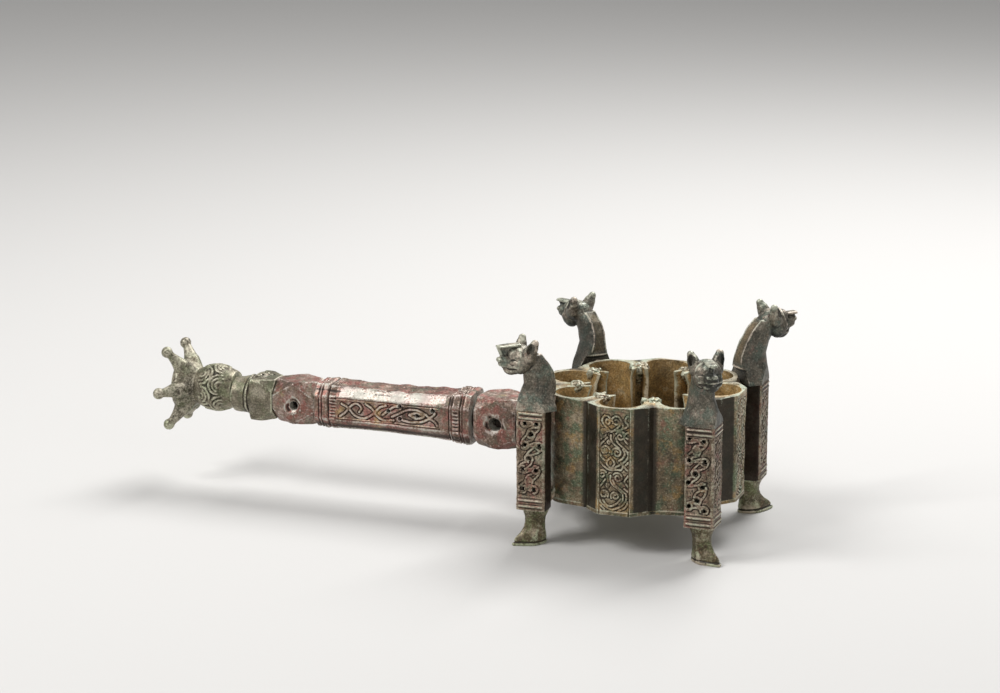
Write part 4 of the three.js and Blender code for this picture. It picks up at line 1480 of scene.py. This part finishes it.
def shaft_carving(co):
    """How deep the ground of the front and back panels lies, as a share, with the line round each panel."""
    share = np.zeros(len(co))
    face = np.abs(co[:, 1]) > shaft_half(co[:, 0]) - 1.0
    front_view = co[face][:, [0, 2]]
    x, up = front_view[:, 0], np.abs(front_view[:, 1])
    field = between(x, SCROLL_FROM, SCROLL_TO, 0.5) * smoothstep(SCROLL_HALF - up, 0, 0.3)
    border = bell(up, SCROLL_HALF + 0.65, 0.24) * between(x, SCROLL_FROM - 1.4, SCROLL_TO + 0.9, 0.5)
    ground = sunk(gap_to(front_view, SCROLL, 2.5) * 0.85)
    share[face] = np.maximum(ground * field, 0.8 * border)
    return share


def carve_shaft(co):
    """Carved front and back panels, ring grooves, pitted top and the ridges at both ends."""
    x, y, z = co.T
    height = np.zeros(len(co))
    for place, width, deep in SHAFT_GROOVES:
        height -= deep * bell(x, place, width)
    hatch = between(x, -163, -158.8, 1, 0.6) + smoothstep(x, -96, -95.6) * (x < -92.8)
    height += 0.22 * hatch * np.sign(np.sin(np.arctan2(z, y) * HATCHES))
    half = shaft_half(x)
    worn = 0.3 * ripple(co * [0.6, 1, 0], 3.0, 71) - 0.35 * smoothstep(ripple(co, 1.3, 73, 14), 1.0, 1.8)
    height += smoothstep(z, half - 0.6, half - 0.1) * worn
    shaped = swell(co, height + 0.12 * ripple(co, 8, 72) + 0.04 * ripple(co, 1.5, 74))
    shaped[:, 1] -= np.sign(y) * 1.25 * relief() * shaft_carving(co)
    return shaped


def shaft_notes(co):
    """Dirt in the carved ground, painted shade in the bore and the holes, a darker underside, brassy strands
    and patches, and a bright painted highlight along the upper front facet.
    """
    x, y, z = co.T
    outer = smoothstep(np.maximum(np.abs(y), np.abs(z)), 8.6, 9.4)
    # Painted highlight along the upper front facet
    highlight_strip = between(-y, 6.5, 10.8, 0.7, 0.6) * smoothstep(z, 6.0, 6.6) * between(x, -158, -100, 1.5, 1)
    strand, ground = carved_notes(shaft_carving(co), co)
    in_field = (np.abs(z) < 5) * (x > SCROLL_FROM + 0.3) * (x < SCROLL_TO - 0.2)
    strand *= in_field * (1 - smoothstep(shaft_half(x) - 0.8 - np.abs(y), 0, 0.5))
    brass = bell(x, -136.8, 1.9) * smoothstep(4 - z, 0, 1) + bell(x, -156.4, 3) * bell(z, -1, 3)
    brass *= (y < 0) * smoothstep(ripple(co, 1.8, 75), -0.9, 0.2)
    # Darker along the underside
    low = 0.5 * smoothstep(-z, 6.5, 9)
    return {
        "rubbed_and_highlit": (0.5, outer * (2.2 * highlight_strip + 0.4 * strand)),
        # Painted shade inside the bore and the holes
        "recess_and_shade": np.maximum(ground, 1 - outer + low * outer),
        "inside": outer * np.maximum(0.9 * brass, np.minimum(5 * strand, 0.45)),
    }


class BURNER_OT_shaft(bpy.types.Operator):
    """Make the eight-sided carved shaft of the handle"""

    bl_idname = "burner.shaft"
    bl_label = "Handle shaft"

    def execute(self, context):
        mesh = sleeve(eight_sided(SHAFT, (6.2, 3.5, 7.6, 3.5), (0, 2, 4), SHAFT_STEP))
        co = averaged(places_of(mesh), edges_of(mesh), 2, 0.5)
        put_places(mesh, carve_shaft(co))
        mesh = cut(mesh, drill(-180, -80, BORE), cross_punch(SHAFT_HOLES))
        notes = shaft_notes(places_of(mesh))
        place_handle(mesh)
        finish_piece("cast_shaft", mesh, "handle_bronze", ["handle_shaft"], 0.1, **notes)
        return {"FINISHED"}


KNOBS = table(("from", "to", "half", "edge", "hole", "drop", "dirt"), {
    "near_knob": (-85.0, -62.9, 12.4, 6.4, 3.5, 0.0, 0.1),
    "far_knob": (-194.3, -171.1, 10.9, 3.2, 2.4, 1.0, 0.21),
})


class BURNER_OT_knobs(bpy.types.Operator):
    """Make the two faceted knobs with their cross holes"""

    bl_idname = "burner.knobs"
    bl_label = "Knobs"

    def execute(self, context):
        for seed, (name, knob) in enumerate(KNOBS.items()):
            start, end, half, edge = [knob[trait] for trait in ("from", "to", "half", "edge")]
            middle = (start + end) / 2
            sections = [(start, half - 0.5, edge), (start + 1, half, edge + 0.6), (middle, half, half - 0.5),
                        (end - 1, half, edge + 0.6), (end, half - 0.5, edge)]
            mesh = sleeve(eight_sided(sections, (8, 4, 8, 4), range(8), FACET_STEP))
            co = averaged(places_of(mesh), edges_of(mesh), 3, 0.5)
            dent = 0.22 * ripple(co, 7, 81 + seed) + 0.1 * ripple(co, 2.5, 83 + seed)
            dent += 0.04 * ripple(co, 1.4, 85)
            radius, drop = knob["hole"], knob["drop"]
            from_hole = np.hypot(co[:, 0] - middle, co[:, 2] + drop) + 0.5 * ripple(co, 3, 87 + seed)
            dent -= 1.3 * (1 - smoothstep(from_hole, radius, radius + 1.9)) * (np.abs(co[:, 1]) > 8)
            put_places(mesh, swell(co, dent))
            mesh = cut(mesh, drill(start - 3, end + 3, KNOB_BORE), cross_punch([(middle, -drop, radius)]))
            # Painted shade inside the bore and the inner part of the cross hole
            within = 1 - smoothstep(np.linalg.norm(places_of(mesh)[:, 1:], axis=1), 8.0, 9.0)
            place_handle(mesh)
            finish_piece("cast_" + name, mesh, "handle_bronze", [name], 0.13, rubbed_and_highlit=(1, 0.1),
                         recess_and_shade=np.maximum(within, knob["dirt"]))
        return {"FINISHED"}


# The socket: place along and radius, and how far the bowl's panel and flanks reach at places across
SOCKET = [(-62.6, 11.6), (-61.2, 12.0), (-60.0, 11.2), (-55.0, 10.6), (-51.5, 11.6), (-45.0, 13.0)]
SOCKET_SEAT = [(0, 48.9), (8.15, 48.7), (9.0, 48.0), (11.6, 45.6), (15.2, 42.6)]
SEAT_DEPTH = 0.3


class BURNER_OT_socket(bpy.types.Operator):
    """Make the socket that joins the handle to the bowl"""

    bl_idname = "burner.socket"
    bl_label = "Handle socket"

    def execute(self, context):
        rings = round_rings(SOCKET, 0.45, 150)
        seat = read_off(SOCKET_SEAT, np.abs(rings[..., 1]), 1)[0]
        rings[..., 0] = np.minimum(rings[..., 0], SEAT_DEPTH - seat)
        mesh = sleeve(rings)
        co = places_of(mesh)
        put_places(mesh, swell(co, 0.2 * ripple(co, 6, 91)))
        mesh = cut(mesh, drill(-64, -55.6, BORE))
        place_handle(mesh)
        finish_piece("cast_socket", mesh, "handle_bronze", ["handle_socket"], height=0.16)
        return {"FINISHED"}


# The collar's square part, the waist behind it, its grooves as place along and depth, and its top scroll
SQUARE = [(-207.6, 9.6, 7.2), (-206.6, 10.6, 9.9), (-201, 10.7, 9.4), (-194.6, 10.4, 5.0)]
WAIST = [(-218.4, 8.9), (-214.0, 9.2), (-210.6, 9.7), (-209.8, 10.3), (-208.4, 10.3), (-205.0, 10.0)]
WAIST_GROOVES = [(-208.6, 0.5), (-210.9, 0.35)]
COLLAR_SCROLL = [curl((-204.2, -2.6), 3.2, 60, 1.3, 0.2), curl((-201.4, 3.6), 3.0, 240, 1.3, 0.2)]


class BURNER_OT_collar(bpy.types.Operator):
    """Make the square collar and the round waist below the ball"""

    bl_idname = "burner.collar"
    bl_label = "Square collar"

    def execute(self, context):
        bm = bmesh.new()
        add_mesh(bm, sleeve(eight_sided(SQUARE, (9, 3, 9, 3), range(8), FACET_STEP)))
        add_mesh(bm, sleeve(round_rings(WAIST, 0.4, 130)))
        blob(bm, (-203.6, 0, 9.4), (4.0, 6.4, 3.0))
        mesh = fused(bm, 0.34, 2)
        co = places_of(mesh)
        groove = 0.6 * bell(gap_to(co[:, :2], COLLAR_SCROLL, 3), 0, 0.45) * (co[:, 2] > 8)
        for place, deep in WAIST_GROOVES:
            groove += deep * bell(co[:, 0], place, 0.3)
        put_places(mesh, swell(co, 0.2 * ripple(co, 5, 95) - groove))
        mesh = cut(mesh, drill(-220, -190, COLLAR_BORE))
        place_handle(mesh)
        finish_piece("cast_collar", mesh, "handle_bronze", ["square_collar"], 0.13, recess_and_shade=0.24,
                     look="finial_bronze")
        return {"FINISHED"}


BALL_FROM, BALL_TO = -239.4, -218.7


# Nested arcs of the ball's leaves, and how far round it one leaf is from the next
LEAF_ARCS = (2.2, 4.2, 6.2)
LEAF_PITCH = 12.6


def ball_bulge(share):
    """How far the ball swells between its ends, as a share."""
    return np.sin(math.pi * np.clip(share, 0, 1)) ** 0.8


class BURNER_OT_ribbed_ball(bpy.types.Operator):
    """Make the ball carved with ribs"""

    bl_idname = "burner.ribbed_ball"
    bl_label = "Ribbed ball"

    def execute(self, context):
        share = np.linspace(0, 1, 76)
        profile = list(zip(BALL_FROM + (BALL_TO - BALL_FROM) * share, 8.8 + 3.2 * ball_bulge(share)))
        mesh = sleeve(round_rings(profile, 0.3, 192))
        co = places_of(mesh)
        bulge = ball_bulge((co[:, 0] - BALL_FROM) / (BALL_TO - BALL_FROM))
        lines = []
        for leaf in range(-4, 5):
            for nest, reach in enumerate(LEAF_ARCS):
                for shift, level, start in ((2.0, BALL_FROM + 5.0, -30), (-4.3, BALL_TO - 5.0, 150)):
                    middle = (leaf * LEAF_PITCH + shift, level)
                    lines.append(curl(middle, reach, start + 14 * nest, 0.48, 0.8))
        unrolled = np.stack([np.arctan2(co[:, 2], co[:, 1]) * 12, co[:, 0]], axis=1)
        carved = smoothstep(gap_to(unrolled, lines, 2) + 0.12 * ripple(co, 1.6, 103), 0.55, 1.0)
        put_places(mesh, swell(co, bulge * 0.7 * (0.4 - carved) + 0.12 * ripple(co, 3, 101)))
        place_handle(mesh, BALL_RISE)
        finish_piece("cast_ball", mesh, "finial_bronze", ["ribbed_ball"], 0.12,
                     rubbed_and_highlit=(0.6, 0.1 * (1 - carved)), recess_and_shade=0.34 * carved * bulge)
        return {"FINISHED"}


HUB = [(-251.5, 6.5), (-250.4, 12.0), (-247.2, 13.6), (-243.0, 11.4), (-239.0, 8.9)]
PRONG = [(-243.5, 6.5, 5.0), (-246.6, 12.6, 4.3), (-249.2, 17.4, 2.8), (-251.3, 20.8, 2.0)]
PRONG_END = (-252.3, 22.0, 2.95)
PRONGS = 6
CORONET_END = -255.5


class BURNER_OT_coronet(bpy.types.Operator):
    """Make the coronet of six outward-curling prongs"""

    bl_idname = "burner.coronet"
    bl_label = "Coronet"

    def execute(self, context):
        bm = bmesh.new()
        add_mesh(bm, sleeve(round_rings(HUB, 0.5, 96)))
        for i in range(PRONGS):
            around = 2 * math.pi * (i + 0.5) / PRONGS
            way = Vector((0, -math.sin(around), math.cos(around)))
            points = [(Vector((x, 0, 0)) + way * reach, half) for x, reach, half in (*PRONG, PRONG_END)]
            for (a, wide), (b, narrow) in zip(points, points[1:-1]):
                rod(bm, a, b, wide, narrow)
            tip, half = points[-1]
            blob(bm, tip, (half,) * 3)
        mesh = fused(bm, 0.36, 12)
        co = places_of(mesh)
        co += normals_of(mesh) * (0.1 * ripple(co, 5, 111))[:, None]
        co[:, 0] = np.maximum(co[:, 0], CORONET_END)
        put_places(mesh, co)
        place_handle(mesh, BALL_RISE)
        finish_piece("cast_coronet", mesh, "finial_bronze", ["coronet_finial"], 0.3, rubbed_and_highlit=(0.8, 0.42))
        return {"FINISHED"}


# Stage

CAMERA_AZIMUTH = math.radians(19.87)
CAMERA_ELEVATION = math.radians(14.41)
CAMERA_DISTANCE = 1.5
CAMERA_TARGET = Vector((0.02212, 0.00005, 0.0850))
CAMERA_LENS = 109.26
CAMERA_SENSOR = 36
# Soft lamps: where each stands, its width and its power
LAMPS = {
    "key_softbox": ((-0.75, -0.75, 1.25), 0.6, 17),
    "top_softbox": ((0.25, 0.75, 1.1), 0.7, 18),
    "fill_softbox": ((1.3, -1.1, 0.7), 0.9, 4),
}


def plain_material(name, colour):
    material = bpy.data.materials.new(name)
    material.use_nodes = True
    shader = material.node_tree.nodes["Principled BSDF"]
    shader.inputs["Base Color"].default_value = (*colour, 1)
    shader.inputs["Roughness"].default_value = 0.85
    return material


def soft_lamp(name, place, size, power):
    data = bpy.data.lights.new(name, "AREA")
    data.shape = "SQUARE"
    data.size = size
    data.energy = power
    lamp = bpy.data.objects.new(name, data)
    aim = (Vector(place) - CAMERA_TARGET).to_track_quat("Z", "Y").to_matrix().to_4x4()
    lamp.matrix_world = Matrix.Translation(place) @ aim
    bpy.context.scene.collection.objects.link(lamp)


class BURNER_OT_stage(bpy.types.Operator):
    """Make the floor, the soft studio light and the camera"""

    bl_idname = "burner.stage"
    bl_label = "Stage"

    def execute(self, context):
        scene = context.scene
        bm = bmesh.new()
        bmesh.ops.create_grid(bm, x_segments=1, y_segments=1, size=8)
        floor = bpy.data.objects.new("studio_floor", mesh_from(bm))
        floor.data.materials.append(plain_material("studio_paper", scene.burner_stage.paper))
        scene.collection.objects.link(floor)
        world = bpy.data.worlds.new("studio")
        world.use_nodes = True
        background = world.node_tree.nodes["Background"]
        background.inputs["Color"].default_value = (1, 1, 1, 1)
        background.inputs["Strength"].default_value = scene.burner_stage.ambient
        scene.world = world
        for name, (place, size, power) in LAMPS.items():
            soft_lamp(name, place, size, power)
        data = bpy.data.cameras.new("photo_camera")
        data.lens = CAMERA_LENS
        data.sensor_width = CAMERA_SENSOR
        data.sensor_fit = "HORIZONTAL"
        data.clip_start = 0.01
        data.clip_end = 60
        level = math.cos(CAMERA_ELEVATION)
        back = Vector((math.sin(CAMERA_AZIMUTH) * level, -math.cos(CAMERA_AZIMUTH) * level,
                       math.sin(CAMERA_ELEVATION)))
        right = Vector((math.cos(CAMERA_AZIMUTH), math.sin(CAMERA_AZIMUTH), 0))
        axes = Matrix((right, back.cross(right), back)).transposed().to_4x4()
        camera = bpy.data.objects.new("photo_camera", data)
        camera.matrix_world = Matrix.Translation(CAMERA_TARGET + back * CAMERA_DISTANCE) @ axes
        scene.collection.objects.link(camera)
        scene.camera = camera
        scene.view_settings.view_transform = "Standard"
        return {"FINISHED"}


# Settings and the sidebar

class BurnerSizes(bpy.types.PropertyGroup):
    """Sizes of the ornament"""

    relief: FloatProperty(
        name="Relief depth", description="Depth of the carved ground below the strands",
        default=0.0006, min=0.0001, max=0.001, unit="LENGTH",
    )


class BurnerStage(bpy.types.PropertyGroup):
    """Light and floor"""

    ambient: FloatProperty(
        name="Ambient light", description="Strength of the even light from all round", default=0.4, min=0,
    )
    paper: FloatVectorProperty(
        name="Floor colour", description="Colour of the studio floor",
        default=(0.55, 0.54, 0.525), min=0, max=1, size=3, subtype="COLOR",
    )


class BurnerPatina(bpy.types.PropertyGroup):
    """Finish of all the bronze"""

    # Scales worn metal and painted highlights alike
    wear: FloatProperty(
        name="Edge wear", description="How pale and bright the rubbed edges are",
        default=0.8, min=0, max=1, subtype="FACTOR",
    )
    roughness: FloatProperty(
        name="Roughness", description="Mean roughness of the bronze",
        default=0.46, min=0.2, max=0.8, subtype="FACTOR",
    )
    pitting: FloatProperty(
        name="Pitting", description="Strength of the fine pitted surface",
        default=0.6, min=0, max=1, subtype="FACTOR",
    )


def tone_settings(slot):
    """A group that holds one patina's colours."""
    colours = {
        tone: FloatVectorProperty(
            name=tone.capitalize(), description=use, default=COLOURS[slot][tone], min=0, max=1, size=3,
            subtype="COLOR",
        )
        for tone, use in TONES.items()
    }
    return type("Burner_" + slot, (bpy.types.PropertyGroup,), {"__annotations__": colours})


SETTINGS = {
    "burner_sizes": BurnerSizes,
    "burner_patina": BurnerPatina,
    "burner_stage": BurnerStage,
    **{"burner_" + slot: tone_settings(slot) for slot in COLOURS},
}


PIECES = [
    BURNER_OT_stage,
    BURNER_OT_lobe_walls,
    BURNER_OT_floor_plate,
    BURNER_OT_rim_cusps,
    BURNER_OT_leg_boxes,
    BURNER_OT_feline_heads,
    BURNER_OT_feet,
    BURNER_OT_webs,
    BURNER_OT_socket,
    BURNER_OT_knobs,
    BURNER_OT_shaft,
    BURNER_OT_collar,
    BURNER_OT_ribbed_ball,
    BURNER_OT_coronet,
]


class BURNER_PT_sidebar(bpy.types.Panel):
    """Lists the settings and the pieces"""

    bl_label = "Incense burner"
    bl_idname = "BURNER_PT_sidebar"
    bl_space_type = "VIEW_3D"
    bl_region_type = "UI"
    bl_category = "Burner"

    def draw(self, context):
        layout = self.layout
        for name, group in SETTINGS.items():
            layout.label(text=name.removeprefix("burner_").replace("_", " ").capitalize())
            for setting in group.__annotations__:
                layout.prop(getattr(context.scene, name), setting)
        for piece in PIECES:
            layout.operator(piece.bl_idname)


CLASSES = [*SETTINGS.values(), *PIECES, BURNER_PT_sidebar]


def register():
    for made in CLASSES:
        bpy.utils.register_class(made)
    for name, group in SETTINGS.items():
        setattr(bpy.types.Scene, name, PointerProperty(type=group))


def unregister():
    for name in SETTINGS:
        delattr(bpy.types.Scene, name)
    for made in reversed(CLASSES):
        bpy.utils.unregister_class(made)


def main():
    register()
    for piece in PIECES:
        group, name = piece.bl_idname.split(".")
        getattr(getattr(bpy.ops, group), name)()


if __name__ == "__main__":
    main()
